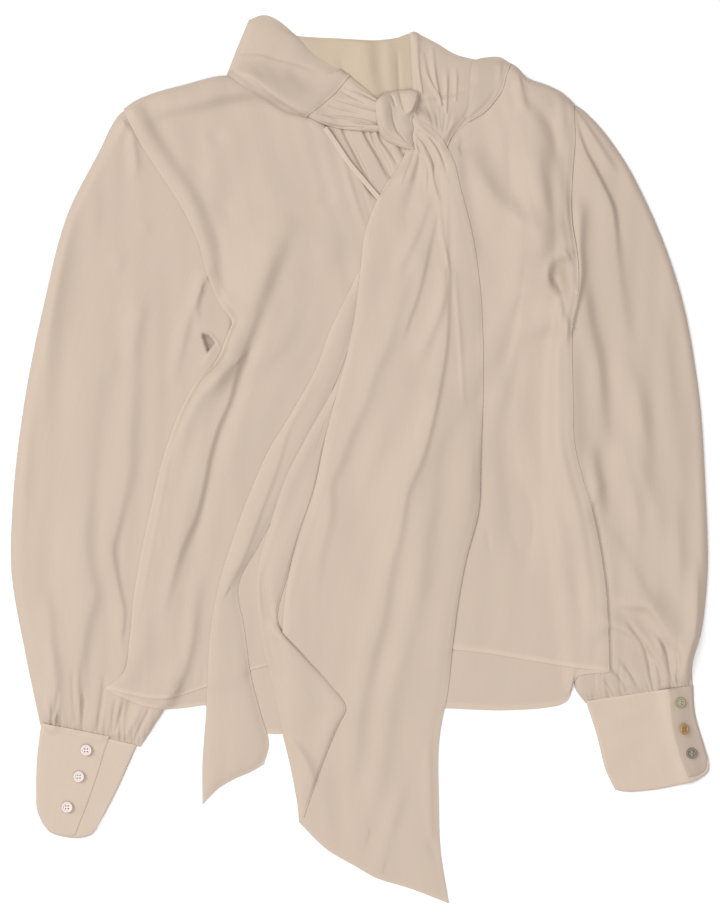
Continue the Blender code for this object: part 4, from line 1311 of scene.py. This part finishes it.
# painted shade: a darker line under the band's lower edge
NECKBAND_LEFT_PAINTED_SHADE = (
    Fold(((-112, 353.5), (-103, 347.5), (-88, 338.5), (-70, 327.8), (-53, 322.5)), VALLEY,
         (0, 0.08, 0.12, 0.12, 0.08), 1.5, 1.8),
)
NECKBAND_RIGHT_FOLDS = (
    Fold(((130, 368), (126.5, 347), (118, 334), (108, 326)), VALLEY, (0.7, 1, 0.6, 0.2), 4, 2),
    Fold(((134.5, 368), (130.5, 347), (121, 332), (108, 323)), RIDGE, (1, 1.2, 1), 1.6, 1.8),
)
KNOT_FOLDS = (
    Fold(((25, 343), (25, 326), (29, 314), (37, 304), (50, 296)), RIDGE, (0.3, 0.5, 0.7, 0.8, 0.4), 6, 7),
    Fold(((34, 344), (37, 332), (41, 320), (48, 306)), RIDGE, (0.6, 0.6, 0.6, 0.4), 4, 4),
    Fold(((48, 352), (48, 340), (49, 328)), RIDGE, (1.2, 1.2, 0.8), 6, 9),
    Fold(((28, 346), (31, 342), (33.5, 335), (35, 330)), VALLEY, (0, 1.4, 1, 0), 1, 1.2),
    Fold(((37, 350), (38.5, 343), (40, 337), (42, 331), (45, 325)), VALLEY, (0.8, 1, 1, 1, 0), 1, 2),
    Fold(((27.5, 338), (30.7, 331), (31.7, 322), (34, 314), (36.7, 308.5), (40.5, 304.5), (44, 300.5),
          (48, 298)), VALLEY, (0, 0.5, 0.7, 1.4, 1.7, 1, 0.6), 1, 1),
    Fold(((19, 324), (22, 314), (28, 306), (37, 300), (48, 296)), VALLEY, (0, 0.7, 0.8, 0.8, 0.5), 0.9,
         0.9),
)
# width of the hollow at -X and at +X, line
NECK_PLEATS = (
    (2, 1.6, ((-17, 318), (-13, 308), (-4, 290), (8, 266))),
    (1.2, 3, ((1, 318), (6, 306), (17, 287), (28, 266))),
    (1.2, 2, ((9, 316), (13, 303), (23, 284), (31, 266))),
    (1, 1.6, ((17, 316), (20, 303), (28, 292), (36, 280))),
    (1, 2, ((31, 306), (39, 294), (45, 282))),
)
# heights, line
TIE_RIGHT_PLEATS = (
    ((1, 1.2, 1), ((56, 398), (57, 370), (60, 348))),
    ((0.6, 1.6, 1.6), ((62, 380), (66, 362), (76, 343))),
    ((0.8, 1.6, 1.6), ((71, 385), (72, 370), (78, 336))),
    ((0, 1.6, 1.4), ((84, 376), (84, 352), (83, 329))),
    ((0, 1.2, 1), ((92, 376), (93, 360), (92, 340))),
    ((0, 0.8, 1, 0.8), ((56, 348), (60, 334), (66, 322), (68, 312))),
    ((0, 0.8, 1, 0.8), ((60, 347), (63, 333), (68, 321), (70, 310))),
    ((0, 0.8, 1, 0.8), ((65, 346), (68, 332), (72, 320), (73, 307))),
    ((0, 0.8, 1, 0.8), ((70, 340), (72, 328), (74, 314), (76, 304))),
    ((0, 0.8, 1, 0.8), ((75, 340), (76, 326), (77, 312), (78, 302))),
    ((0, 0.8, 1, 0.8), ((80, 338), (80, 324), (79, 312), (79, 300))),
    ((0, 0.9, 1.1, 1.1), ((86, 334), (85, 322), (82, 309), (79, 299))),
    ((0, 1, 1.2, 1.2), ((93, 330), (91, 321), (85, 309), (79, 298))),
    ((0.4, 1.1, 1.4, 1.4), ((97, 324), (92, 317), (86, 307), (81, 297))),
)
TIE_LEFT_PLEATS = (
    ((0.6, 2, 2), ((-13, 350.7), (4.6, 343.8), (20, 336))),
    ((0.5, 1.3, 0.6), ((-17, 347.5), (-7, 342), (5, 336))),
    ((0.5, 1.5, 1.6), ((-23, 340), (-7, 335), (18, 327.6))),
    ((0.6, 1.3, 0.5), ((-29, 334), (-15, 330), (5, 326))),
    ((0.5, 1.5, 1.6, 1.2), ((-39, 326), (-23, 323), (-5, 321.5), (18, 316))),
    ((0, 2, 2), ((-15, 321), (3, 317), (18, 316))),
    ((0.4, 1.4, 1.2), ((-45, 322), (-30, 316), (4, 312.5))),
    ((0, 0.7, 0.9), ((-10, 358), (4, 349), (16, 342))),
)
UNDER_FOLDS = (
    Fold(((-36, 89), (-48, 58), (-65, 28), (-77, -10), (-90, -45), (-114, -106), (-122, -121)), LAP,
         (0, 1.2, 1.6, 1.6, 1.6), 9, 3),
)


@dataclass
class Body:
    """Back and front joined at the shoulders, sides and armholes, and the bound neck slit."""

    front_top: Line = ((-224, 331), (-213, 339), (-199, 345), (-167, 354), (-124, 363), (-98, 360),
                       (-76, 350), (-50, 330), (-30, 314), (-9, 283), (20, 248), (38, 264), (62, 283),
                       (83, 299), (101, 317), (120, 330), (131, 344), (137, 362), (143, 375), (150, 371),
                       (158, 362), (178, 354), (192, 347), (203, 337))
    front_hem: Line = ((-241, -218), (-218, -224), (-185, -228), (-145, -217), (-109, -203), (-28, -187),
                       (53, -180), (119, -185), (167, -193), (206, -199), (237, -202))
    back_top: Line = ((-224, 331), (-213, 338), (-199, 344), (-167, 353), (-124, 362), (-95, 348),
                      (-57, 337), (0, 332), (57, 334), (105, 342), (138, 366), (157, 360), (178, 353),
                      (192, 346), (203, 337))
    back_hem: Line = ((-241, -219), (-208, -234), (-181, -238.5), (-163, -237), (-145, -235), (-114, -252),
                      (-85, -262), (-47, -257), (12, -242), (68, -238), (144, -239.5), (178, -237),
                      (191, -234.5), (198, -230), (201.5, -222), (203.5, -212), (208, -206.5),
                      (216, -204.8), (237, -203))
    back_side: Line = ((-138, 168), (-125, 140), (-117, 122), (-124, 105), (-133, 90), (-150, 72),
                       (-181, 16), (-199, -53), (-214, -132), (-218, -173), (-224, -204), (-241, -218))
    slit: Line = ((-31, 314), (-19, 297), (-9, 282), (6, 264), (19, 249), (26, 241))
    binding: float = 4.5            # added lightness of the binding
    thick: float = 0.75             # half of its thickness where it turns round the edge
    binding_light: float = 0.13     # four layers of cloth let less light through

    def outline(self, top: Line, hem: Line) -> Outline:
        """A body panel between the shared armholes and side seams."""
        return Outline(left=ARMHOLE_LEFT + SIDE_LEFT, right=ARMHOLE_RIGHT + SIDE_RIGHT, top=top, bottom=hem)

    def footprint(self, pile: Pile) -> Points:
        """Cells that the front will cover."""
        return pile.mask(self.outline(self.front_top, self.front_hem).even(3.0))

    def build(self, pile: Pile, dresser: Dresser) -> list[bpy.types.Object]:
        """Lay the back, the front and the binding of the slit.

        Args:
            pile: cloth already laid.
            dresser: makes the finished pieces.

        Returns:
            The pieces.
        """
        pleats = tuple(Fold(line, VALLEY, (3, 4, 4, 2), near, far) for near, far, line in NECK_PLEATS)
        left = ARMHOLE_LEFT[:6] + self.back_side
        outline = Outline(left, ARMHOLE_RIGHT + SIDE_RIGHT, self.back_top, self.back_hem)
        back = Panel("back", outline, ("sleeve_left_cloth", "sleeve_right_cloth"), folds=pleats, cell=3.0,
                     tall=1.7, focus=(0.5, 1.0), loft=3.2, roll=(8, 8, 0, 35), seed=3,
                     hems=(("bottom", 4.6, 0.07),))
        front = Panel("front", self.outline(self.front_top, self.front_hem), ("back_cloth",),
                      folds=FRONT_FOLDS, cell=2.3, loft=3.0, low=0.05, roll=(12, 12, 3, 45), seed=5,
                      uneven=0.3, soft=2.2, painted_crease_shade=FRONT_PAINTED_SHADE,
                      sewn=(("left", -260.0, 0.1), ("right", -260.0, 1.7)), hems=(("bottom", 4.6, 0.09),))
        return [back.build(pile, dresser), front.build(pile, dresser), self.bind(pile, dresser)]

    def bind(self, pile: Pile, dresser: Dresser) -> bpy.types.Object:
        """Wrap the slit's edge in its bias strip: over the front, round the edge and back below it.

        Across the strip a point goes out level, turns through half a circle, and comes back.

        Args:
            pile: cloth already laid.
            dresser: makes the finished piece.

        Returns:
            The binding.
        """
        edge = curve(self.slit, np.linspace(0.0, 1.0, 90))
        run = np.gradient(edge, axis=0)
        away = np.column_stack([run[:, 1], -run[:, 0]]) / np.linalg.norm(run, axis=1)[:, None]
        turn = np.linspace(0.0, math.pi, 7)[1:-1]
        level = np.concatenate([[self.binding], np.linspace(self.binding - 0.2, 0.4, 6)])
        out = np.concatenate([level, -0.35 * np.sin(turn), level[::-1]])
        under = np.full(len(level), 2 * self.thick)
        drop = np.concatenate([np.zeros(len(level)), self.thick * (1 - np.cos(turn)), under])
        drop[:2] = 0.15
        plan = edge[:, None] + out[None, :, None] * away[:, None]
        top = pile.blur(pile.spread(pile.top, 2), 1.5)
        rest = pile.read(top, edge + 0.5 * self.binding * away)[:, None]
        surface = np.dstack([plan, rest + 0.1 + WALL - drop[None]])
        tone_and_painted_light = np.full(surface.shape[:2], self.binding_light)
        made = dresser.cloth_piece("slit_binding", surface, tone_and_painted_light)
        pile.lay(plan, surface[..., 2])
        return made


@dataclass
class Neckband:
    """Standing band of the neck, fallen flat: its back shows its inside, its left side folds over."""

    back: Outline = Outline(
        left=((-98, 408), (-108, 386), (-117, 366)),
        right=((56, 401), (57, 380), (58, 345)),
        top=((-98, 408), (-60, 401), (-19, 398.5), (19, 397), (35, 399), (49, 403), (56, 401)),
        bottom=((-117, 366), (-71, 336), (-23, 325), (19, 325), (58, 345)))
    left: Outline = Outline(
        left=((-105, 416), (-115.5, 391), (-126, 364)),
        right=((-9, 363), (-22, 347), (-51, 322)),
        top=((-105, 416), (-93, 420.5), (-61, 402), (-47, 386), (-26, 372), (-9, 363)),
        bottom=((-126, 364), (-112, 353), (-103, 347), (-88, 338), (-70, 327), (-51, 322)))
    right: Outline = Outline(
        left=((107, 377.5), (105.5, 368), (104, 350), (102, 331), (98.5, 323)),
        right=((144, 374.5), (140.5, 366), (134.5, 347), (128, 338), (119.5, 328.5), (104, 319)),
        top=((107, 377.5), (120, 380.5), (134, 380.5), (144, 374.5)),
        bottom=((98.5, 323), (104, 319)))

    def build(self, pile: Pile, dresser: Dresser, scarf: "Scarf") -> list[bpy.types.Object]:
        """Lay the back stretch, then the ties, then the two ends of the band over them.

        Args:
            pile: cloth already laid.
            dresser: makes the finished pieces.
            scarf: lays the ties.

        Returns:
            The pieces.
        """
        back = Panel("neckband_back", self.back, ("back_cloth",), folds=NECKBAND_BACK_FOLDS, cell=1.3,
                     loft=1.8, roll=(6, 6, 2, 8), seed=7, inside=True)
        left = Panel("neckband_left", self.left, ("front_cloth", "neckband_back_cloth"),
                     folds=NECKBAND_LEFT_FOLDS, cell=1.1, tall=1.2, loft=3.2, low=0.05, roll=(7, 16, 6, 5),
                     seed=8, soft=4.0,
                     # painted shade: the band's bottom strip drawn darker
                     hems=(("bottom", 6.0, -0.09), ("right", 1.6, 0.07)), painted_crease_shade=NECKBAND_LEFT_PAINTED_SHADE)
        right = Panel("neckband_right", self.right, ("front_cloth",), folds=NECKBAND_RIGHT_FOLDS, cell=0.9,
                      tall=1.2, loft=4.4, low=0.02, roll=(7, 15, 8, 8), seed=9, soft=4.0, uneven=0.1,
                      # painted shade: the right end of the band drawn darker
                      painted_shade=-0.06, hems=(("right", 1.8, 0.05),))
        return [back.build(pile, dresser), *scarf.ties(pile, dresser), left.build(pile, dresser),
                right.build(pile, dresser)]


@dataclass
class Scarf:
    """The tie: its two stretches into the knot, the knot, and the two tails, one turned back at its end."""

    climb: float = -150.0       # y where the turned-back end starts to climb on to its tail
    knot_height: float = 5.0
    tie_right: Outline = Outline(
        left=((49, 402), (49, 378), (50, 350), (46, 322)),
        right=((117, 377), (115, 352), (109, 335), (99.5, 321), (93, 313), (86, 302), (82, 291)),
        top=((48, 404), (51, 405), (60, 401), (75, 393), (90, 384), (117, 377)),
        bottom=((46, 322), (62, 305), (82, 291)))
    tie_left: Outline = Outline(
        left=((-17, 369), (-31, 353), (-57, 329)),
        right=((23, 337), (23, 323), (23, 309)),
        top=((-17, 369), (6, 350), (23, 337)),
        bottom=((-57, 329), (-47, 322), (-26, 314), (0, 310), (23, 309)))
    tail_under: Outline = Outline(
        left=((4, 186), (-14, 150), (-30, 116), (-39, 90), (-64, 44), (-87, 6), (-104, -33), (-119, -73),
              (-133, -118), (-142, -168), (-144, -207), (-146, -246), (-149, -287), (-149, -328)),
        right=((10, 180), (-2, 140), (-12, 100), (-28, 60), (-44, 24), (-60, -10), (-76, -45), (-96, -83),
               (-115, -121), (-109, -163), (-103, -207), (-93, -246), (-86, -273), (-91, -291)),
        bottom=((-149, -329), (-134, -314), (-118, -304.5), (-104, -298.5), (-91, -291)))
    tail_over: Outline = Outline(
        left=((47, 298), (43, 289), (38, 277), (30, 267), (19, 249), (6, 217), (0, 169), (-7, 122),
              (-18, 74), (-32, 21), (-43, -30), (-59, -78), (-68, -116), (-73, -164), (-69.5, -220),
              (-67, -268), (-60.2, -315), (-57.3, -346)),
        right=((47, 325), (63, 316), (76, 305), (84, 292), (90, 278), (95, 257), (106, 215), (114, 164),
               (117, 112), (117, 55), (115, 3), (113, -50), (101, -97), (95, -128), (89, -173), (84, -220),
               (75.8, -268), (75.4, -325), (77, -372), (85, -423)),
        bottom=((-57.3, -346), (-32, -371), (0, -390), (10, -396), (50, -409.5), (85, -423)))
    turnback: Outline = Outline(
        left=((-14, 86), (-28, 60), (-52, 17), (-71, -21), (-85, -64), (-96, -102), (-98, -129),
              (-95, -159), (-90, -187), (-83, -214), (-73, -262), (-65, -296), (-57, -339)),
        right=((-8, 80), (-20, 51), (-33, 12), (-42, -30), (-57, -75), (-69, -114), (-77, -156),
               (-52, -188), (-28, -215), (-13, -238), (-20, -253), (-38, -298), (-53, -341)))
    knot_dome: Outline = Outline(
        left=((20, 343), (16, 338), (15.5, 326), (17, 316), (20, 306), (26, 300), (34, 296.5), (42, 293.5),
              (50, 292)),
        right=((58, 347), (57, 340), (53, 329), (50, 321), (51, 312), (50, 305), (51, 298), (52, 292)),
        top=((20, 343), (27, 347), (38, 349), (50, 349), (58, 347)),
        bottom=((50, 292), (52, 292)))

    def ties(self, pile: Pile, dresser: Dresser) -> list[bpy.types.Object]:
        """Lay the pleated stretches on either side of the knot.

        Args:
            pile: cloth already laid.
            dresser: makes the finished pieces.

        Returns:
            The pieces.
        """
        edge = Fold(((60, 347), (58, 338), (56, 329), (58, 320)), VALLEY, (0, 3.4, 3.4, 0), 2.5, 6)
        # painted shadow: darker gathers right of the knot
        painted_shadow = Fold(((55, 340), (58, 331), (66, 322), (76, 313)), VALLEY, (0.1, 0.28, 0.16, 0.06), 3.5,
                      6)
        pleats = tuple(Fold(line, LAP, rise, (3.4, 1.8), (1.8, 0.9)) for rise, line in TIE_RIGHT_PLEATS)
        right = Panel("tie_right", self.tie_right, ("front_cloth", "neckband_back_cloth"),
                      folds=pleats + (edge,), cell=0.8, tall=1.1, loft=3.4, roll=(2, 9, 6, 7), seed=14,
                      held="gathered", fullness=1.2, hems=(("right", 1.5, 0.05),), painted_crease_shade=(painted_shadow,))
        pleats = tuple(Fold(line, VALLEY, heights, 0.8, 1.1) for heights, line in TIE_LEFT_PLEATS)
        left = Panel("tie_left", self.tie_left, ("front_cloth", "neckband_back_cloth"), folds=pleats,
                     cell=0.7, tall=1.0, loft=3.6, low=0.9, roll=(0, 0, 3, 1.4), seed=15, uneven=0.12,
                     # painted light: the left stretch drawn lighter
                     painted_shade=0.03, held="gathered", fullness=1.2)
        return [panel.build(pile, dresser) for panel in (right, left)]

    def tails(self, pile: Pile, dresser: Dresser) -> list[bpy.types.Object]:
        """Lay the under tail, the over tail and its turned-back corner, which climbs on to it.

        Args:
            pile: cloth already laid.
            dresser: makes the finished pieces.

        Returns:
            The pieces.
        """
        under = Panel("tail_under", self.tail_under, ("front_cloth",), folds=UNDER_FOLDS, cell=1.8,
                      loft=3.2, low=0.02, roll=(9, 7, 6, 6), seed=20, soft=3.0,
                      hems=(("left", 4.0, 0.03), ("right", 1.6, 0.03), ("bottom", 3.0, 0.03)))
        over = Panel("tail_over", self.tail_over, ("front_cloth", "tail_under_cloth"), folds=OVER_FOLDS,
                     cell=1.6, loft=2.4, low=0.02, roll=(8, 9, 4, 7), seed=22, soft=3.0,
                     hems=(("left", 4.5, 0.04), ("right", 5.0, 0.03), ("bottom", 4.0, 0.03)))
        turned = Panel("tail_turnback", self.turnback, ("tail_over_cloth", "tail_under_cloth"),
                       folds=TURNBACK_FOLDS, cell=1.5, loft=2.9, low=0.02, roll=(8, 3.5, 6, 6), seed=24,
                       soft=3.0, held="folded", hems=(("right", 5.0, 0.04),))
        return [under.build(pile, dresser), *self.overlap(over, turned, pile, dresser)]

    def overlap(self, over: Panel, turned: Panel, pile: Pile, dresser: Dresser) -> list[bpy.types.Object]:
        """Lay the over tail on the upper part of its own turned end, and the lower part on the tail.

        Args:
            over: the over tail.
            turned: its turned-back end, which passes from below to above in 25 mm from the climb down.
            pile: cloth already laid.
            dresser: makes the finished pieces.

        Returns:
            The over tail and the turned end.
        """
        plan = turned.outline.even(turned.cell, tall=turned.tall)
        below = turned.upper(pile, plan)
        rows = int(np.argmax(plan[..., 1].max(1) < self.climb + 2.0))
        pile.lay(plan[:rows], below[:rows])
        tail = over.build(pile, dresser)
        above = smooth((self.climb - plan[..., 1]) / 25.0)
        upper = below + (turned.upper(pile, plan) - below) * above
        return [tail, turned.finish(plan, upper, pile, dresser)]

    def knot(self, pile: Pile, dresser: Dresser) -> bpy.types.Object:
        """Knot as one domed sheet with lobes and creases.

        It rounds down at its edges in quarter ellipses, and on the right as a sine that is long where the
        tail comes out of it.

        Args:
            pile: cloth already laid.
            dresser: makes the finished piece.

        Returns:
            The knot.
        """
        plan = self.knot_dome.even(0.7)
        height = self.knot_height + sum(fold.rise(plan) for fold in KNOT_FOLDS)
        edge = inset(plan)
        for key, size in (("left", 9.0), ("top", 10.0), ("bottom", 4.0)):
            height = height * rounded(0.03 + edge[key] / size, 1.0)
        size = 4.0 + 10.0 * smooth((330.0 - plan[..., 1]) / 8.0)
        height = height * np.sin(0.5 * math.pi * np.clip(0.02 + edge["right"] / size, 0, 1))
        rest = pile.read(pile.blur(pile.spread(pile.top, 3), 2.5), plan)
        upper = np.maximum(pile.support(plan, 1.0) + GAP + WALL, 0.8 * rest - 0.3 + height)
        # painted shade: darker crevice along the knot's right edge, where the tail comes out
        painted_crevice_shade = -0.3 * bell(edge["right"], 1.3) * smooth((327.0 - plan[..., 1]) / 4.0)
        surface = np.dstack([plan, upper])
        piece = dresser.cloth_piece("knot", surface, painted_crevice_shade)
        pile.lay(plan, upper)
        return piece

    def build(self, pile: Pile, dresser: Dresser) -> list[bpy.types.Object]:
        """Lay the tails and the knot; the neckband lays the ties."""
        return [*self.tails(pile, dresser), self.knot(pile, dresser)]


@dataclass
class Buttons:
    """Six four-hole shell buttons of the frame, and the thread that holds them."""

    finishes: dict[str, bpy.types.Material]
    pitch: float = 2.6      # from hole to hole
    thick: float = 0.35     # half of a bar's thickness
    dish: float = 0.5       # the holes' floor lies this far below the rim
    sunk: float = 0.9       # a bar's ends, below that floor
    arch: float = 1.25      # a bar's middle, above its ends
    flat: float = 4.0       # a button taller than this stands on edge and hides its thread

    def bar(self, start: Points, end: Points, top: float) -> tuple[Points, Points]:
        """A stitch as a tube of six sides that arches from hole to hole.

        Args:
            start: where it leaves the first hole, x and y.
            end: where it enters the second.
            top: height of the button's upper side.

        Returns:
            Vertices and quads.
        """
        t = np.linspace(0.0, 1.0, 7)[:, None]
        height = top - self.sunk + self.arch * np.sin(math.pi * t[:, 0]) ** 0.5
        line = np.column_stack([start + (end - start) * t, height])
        run = np.append((end - start) / np.linalg.norm(end - start), 0.0)
        side = np.array([-run[1], run[0], 0.0])
        turn = np.linspace(0.0, math.tau, 6, endpoint=False)[:, None]
        ring = self.thick * (np.cos(turn) * side + np.sin(turn) * np.array([0.0, 0.0, 1.0]))
        return (line[:, None] + ring).reshape(-1, 3), ring_quads(np.arange(42).reshape(7, 6))

    def build(self, dresser: Dresser) -> None:
        """Finish the frame's buttons, and sew each that lies flat with two bars of thread.

        Args:
            dresser: makes the thread.
        """
        for name, finish in self.finishes.items():
            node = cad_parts[name]
            node.data.materials.clear()
            node.data.materials.append(finish)
            low, high = (np.array(corner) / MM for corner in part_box(name))
            if high[2] - low[2] > self.flat:
                continue
            centre, half = (low + high)[:2] / 2, self.pitch / 2
            bars = [self.bar(centre + (-half, y), centre + (half, y), high[2] - self.dish)
                    for y in (-half, half)]
            quads = np.concatenate([bars[0][1], bars[1][1] + len(bars[0][0])])
            dresser.sew(f"{name}_thread", np.concatenate([points for points, _ in bars]), quads.tolist())


@dataclass
class Studio:
    """White paper floor, one broad soft light from the upper left, a bright room, and the camera above."""

    lens: float = 100.0             # millimetres, like the sensor and the paper
    sensor: float = 36.0
    paper: float = 8000.0           # half of the floor's side
    frame_height: float = 0.8721    # height of the picture at the floor, metres
    offset: tuple[float, float] = (0.0002, -0.0014)     # of the camera from the blouse's middle, metres
    lights: tuple[tuple[str, float, float, tuple[float, float, float]], ...] = (    # size, watts, place
        ("window", 3.0, 181.0, (-3.6, 1.6, 4.0)), ("ceiling", 3.2, 55.0, (0.0, -0.9, 3.0)))
    room: float = 0.4

    def build(self) -> None:
        """Set the floor, the light, the room and a camera that looks straight down."""
        low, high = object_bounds()
        centre = (low + high) / 2
        scene = bpy.context.scene
        corners = np.array([(-1, -1, 0), (1, -1, 0), (1, 1, 0), (-1, 1, 0)]) * self.paper
        floor = solid("floor", corners, [[0, 1, 2, 3]])
        floor.data.materials.append(PaperSweep().material())
        floor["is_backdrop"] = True
        for name, size, watts, place in self.lights:
            light = bpy.data.lights.new(name, "AREA")
            light.shape = "SQUARE"
            light.size = size
            light.energy = watts
            lamp = bpy.data.objects.new(name, light)
            lamp.location = place
            lamp.rotation_euler = (-Vector(place)).to_track_quat("-Z", "Y").to_euler()
            scene.collection.objects.link(lamp)
        world = bpy.data.worlds.new("room")
        world.use_nodes = True
        world.node_tree.nodes["Background"].inputs["Color"].default_value = (1.0, 1.0, 1.0, 1.0)
        world.node_tree.nodes["Background"].inputs["Strength"].default_value = self.room
        scene.world = world
        scene.view_settings.view_transform = "Standard"
        data = bpy.data.cameras.new("camera")
        data.lens = self.lens
        data.sensor_width = self.sensor
        data.clip_end = 20.0
        camera = bpy.data.objects.new("camera", data)
        distance = self.frame_height * self.lens / self.sensor
        camera.location = (centre.x + self.offset[0], centre.y + self.offset[1], distance)
        scene.collection.objects.link(camera)
        scene.camera = camera


SLEEVES = (
    Sleeve("sleeve_left", Outline(
        left=((-223, 331), (-229, 327), (-238, 314), (-246.5, 296), (-277.4, 235), (-301.2, 145),
              (-320, 48), (-330.6, -54), (-331.4, -101), (-317.6, -185), (-303, -253.5)),
        right=((-118, 127), (-121, 112), (-126, 98), (-136, 80), (-146, 60), (-157, 12), (-167, -54),
               (-178, -116), (-181, -173), (-184, -236), (-196, -256), (-208, -274.5)),
        top=tuple((x + 3.0, y) for x, y in ARMHOLE_LEFT)),
        "left", LEFT_SLEEVE_FOLDS, Gathers(pitch=4.6, height=1.3, reach=11.0, seed=41, coarse=0.7),
        drop=0.02, pit=((-149.5, 118.2), (-143.8, 100.5), (-137, 109.3), (-142.5, 115.8))),
    Sleeve("sleeve_right", Outline(
        left=((200, 124), (193, 80), (189, 12), (190, -45), (195, -99), (200, -152), (203, -195),
              (203.5, -212), (206, -221), (211, -228), (215, -233)),
        right=((202, 337), (210.5, 333), (223.5, 321.5), (245.6, 294), (278, 234), (305.5, 159), (322, 72),
               (329.3, -30), (330, -125), (325, -165), (316, -200), (316.5, -217.5)),
        top=tuple((x - 3.0, y) for x, y in ARMHOLE_RIGHT[::-1])),
        "right", RIGHT_SLEEVE_FOLDS, Gathers(pitch=4.6, height=1.5, reach=7.5, seed=42, coarse=0.6),
        # painted shade: the right sleeve, away from the light, drawn darker
        puff=6.5, rounding=10.0, drop=0.2, painted_shade=-0.02),
)
CUFFS = (
    Cuff("cuff_left", Outline(
        left=((-302, -251.5), (-306, -284), (-307, -316), (-306, -335), (-301, -347)),
        right=((-211, -272.5), (-220, -293), (-231, -317), (-241, -336), (-248, -348)),
        bottom=((-301, -347), (-294, -355), (-281, -359.5), (-264, -360.5), (-254, -357), (-248, -348))),
        Outline(
            left=((-301, -251.5), (-305, -284), (-306, -316), (-305, -335), (-300, -346)),
            right=((-237, -264), (-242, -278), (-247, -295), (-258, -327), (-270, -358)),
            bottom=((-300, -346), (-293, -354), (-281, -358.5), (-270, -358)))),
    Cuff("cuff_right", Outline(
        left=((215, -230.5), (226, -265), (235, -299), (243, -315)),
        right=((317, -215.5), (319, -243), (326, -268), (331, -284)),
        bottom=((243, -315), (250, -316.5), (275, -315.5), (305, -310), (322, -305), (331, -298),
                (331, -284))),
        Outline(
            left=((291.5, -219), (294, -224), (295, -236), (298, -260), (302, -274), (305, -285),
                  (312, -303)),
            right=((316, -216), (318, -243), (325, -268), (330, -285)),
            bottom=((312, -303), (321, -301), (328, -296), (330, -285))),
        ridge=(
            Fold(((290, -214), (294, -236), (298, -260), (305, -285), (312, -306)),
                 RIDGE, (2.4, 2.6, 2.4, 2), 6, 9),
            Fold(((222, -243), (240, -246), (258, -241), (278, -234)), LAP, (0.5, 1, 0.8, 0), 9, 4),
            Fold(((268, -265), (272, -285), (285, -300)), VALLEY, (0, 0.7, 0), 9, 9)),
        # painted shade: the right overlap, tilted from the light, drawn darker
        lap_tone_and_painted_shade=-0.13),
)


def note_size(sizes: dict[str, list[list[float]]], key: str) -> None:
    """Add the shown object's box, as plain lists, to those already noted."""
    sizes[key] = [list(corner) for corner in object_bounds()]


def main() -> None:
    """Build the blouse in sewing order, from the floor up, and light it."""
    logging.basicConfig(level=logging.INFO, format="%(message)s")
    sizes: dict[str, list[list[float]]] = {}
    note_size(sizes, "cad")
    Studio().build()
    pile = Pile()
    dresser = Dresser(cloth=CrepeSatin("crepe_satin_ivory", "#C1AF9F").material(),
                      inside=CrepeSatin("crepe_satin_inside", "#C1AF99", roughness=0.66).material(),
                      thread=SpunThread("thread_ivory", "#CDBBA9").material())
    body = Body()
    print_area = body.footprint(pile)
    for sleeve in SLEEVES:
        sleeve.build(pile, dresser, print_area)
    for cuff in CUFFS:
        cuff.build(pile, dresser)
    body.build(pile, dresser)
    scarf = Scarf()
    Neckband().build(pile, dresser, scarf)
    scarf.build(pile, dresser)
    pale = TurnedShell("shell_pale", "#F2E4DF", "#CDBCB6").material()
    Buttons({"button_left_1": pale, "button_left_2": pale, "button_left_3": pale,
             "button_right_1": TurnedShell("shell_olive", "#7A7656", "#A09B78").material(),
             "button_right_2": TurnedShell("shell_amber", "#9A7040", "#BE955F").material(),
             "button_right_3": TurnedShell("shell_smoke", "#574B3B", "#7E7260").material()}).build(dresser)
    note_size(sizes, "visual")


if __name__ == "__main__":
    main()
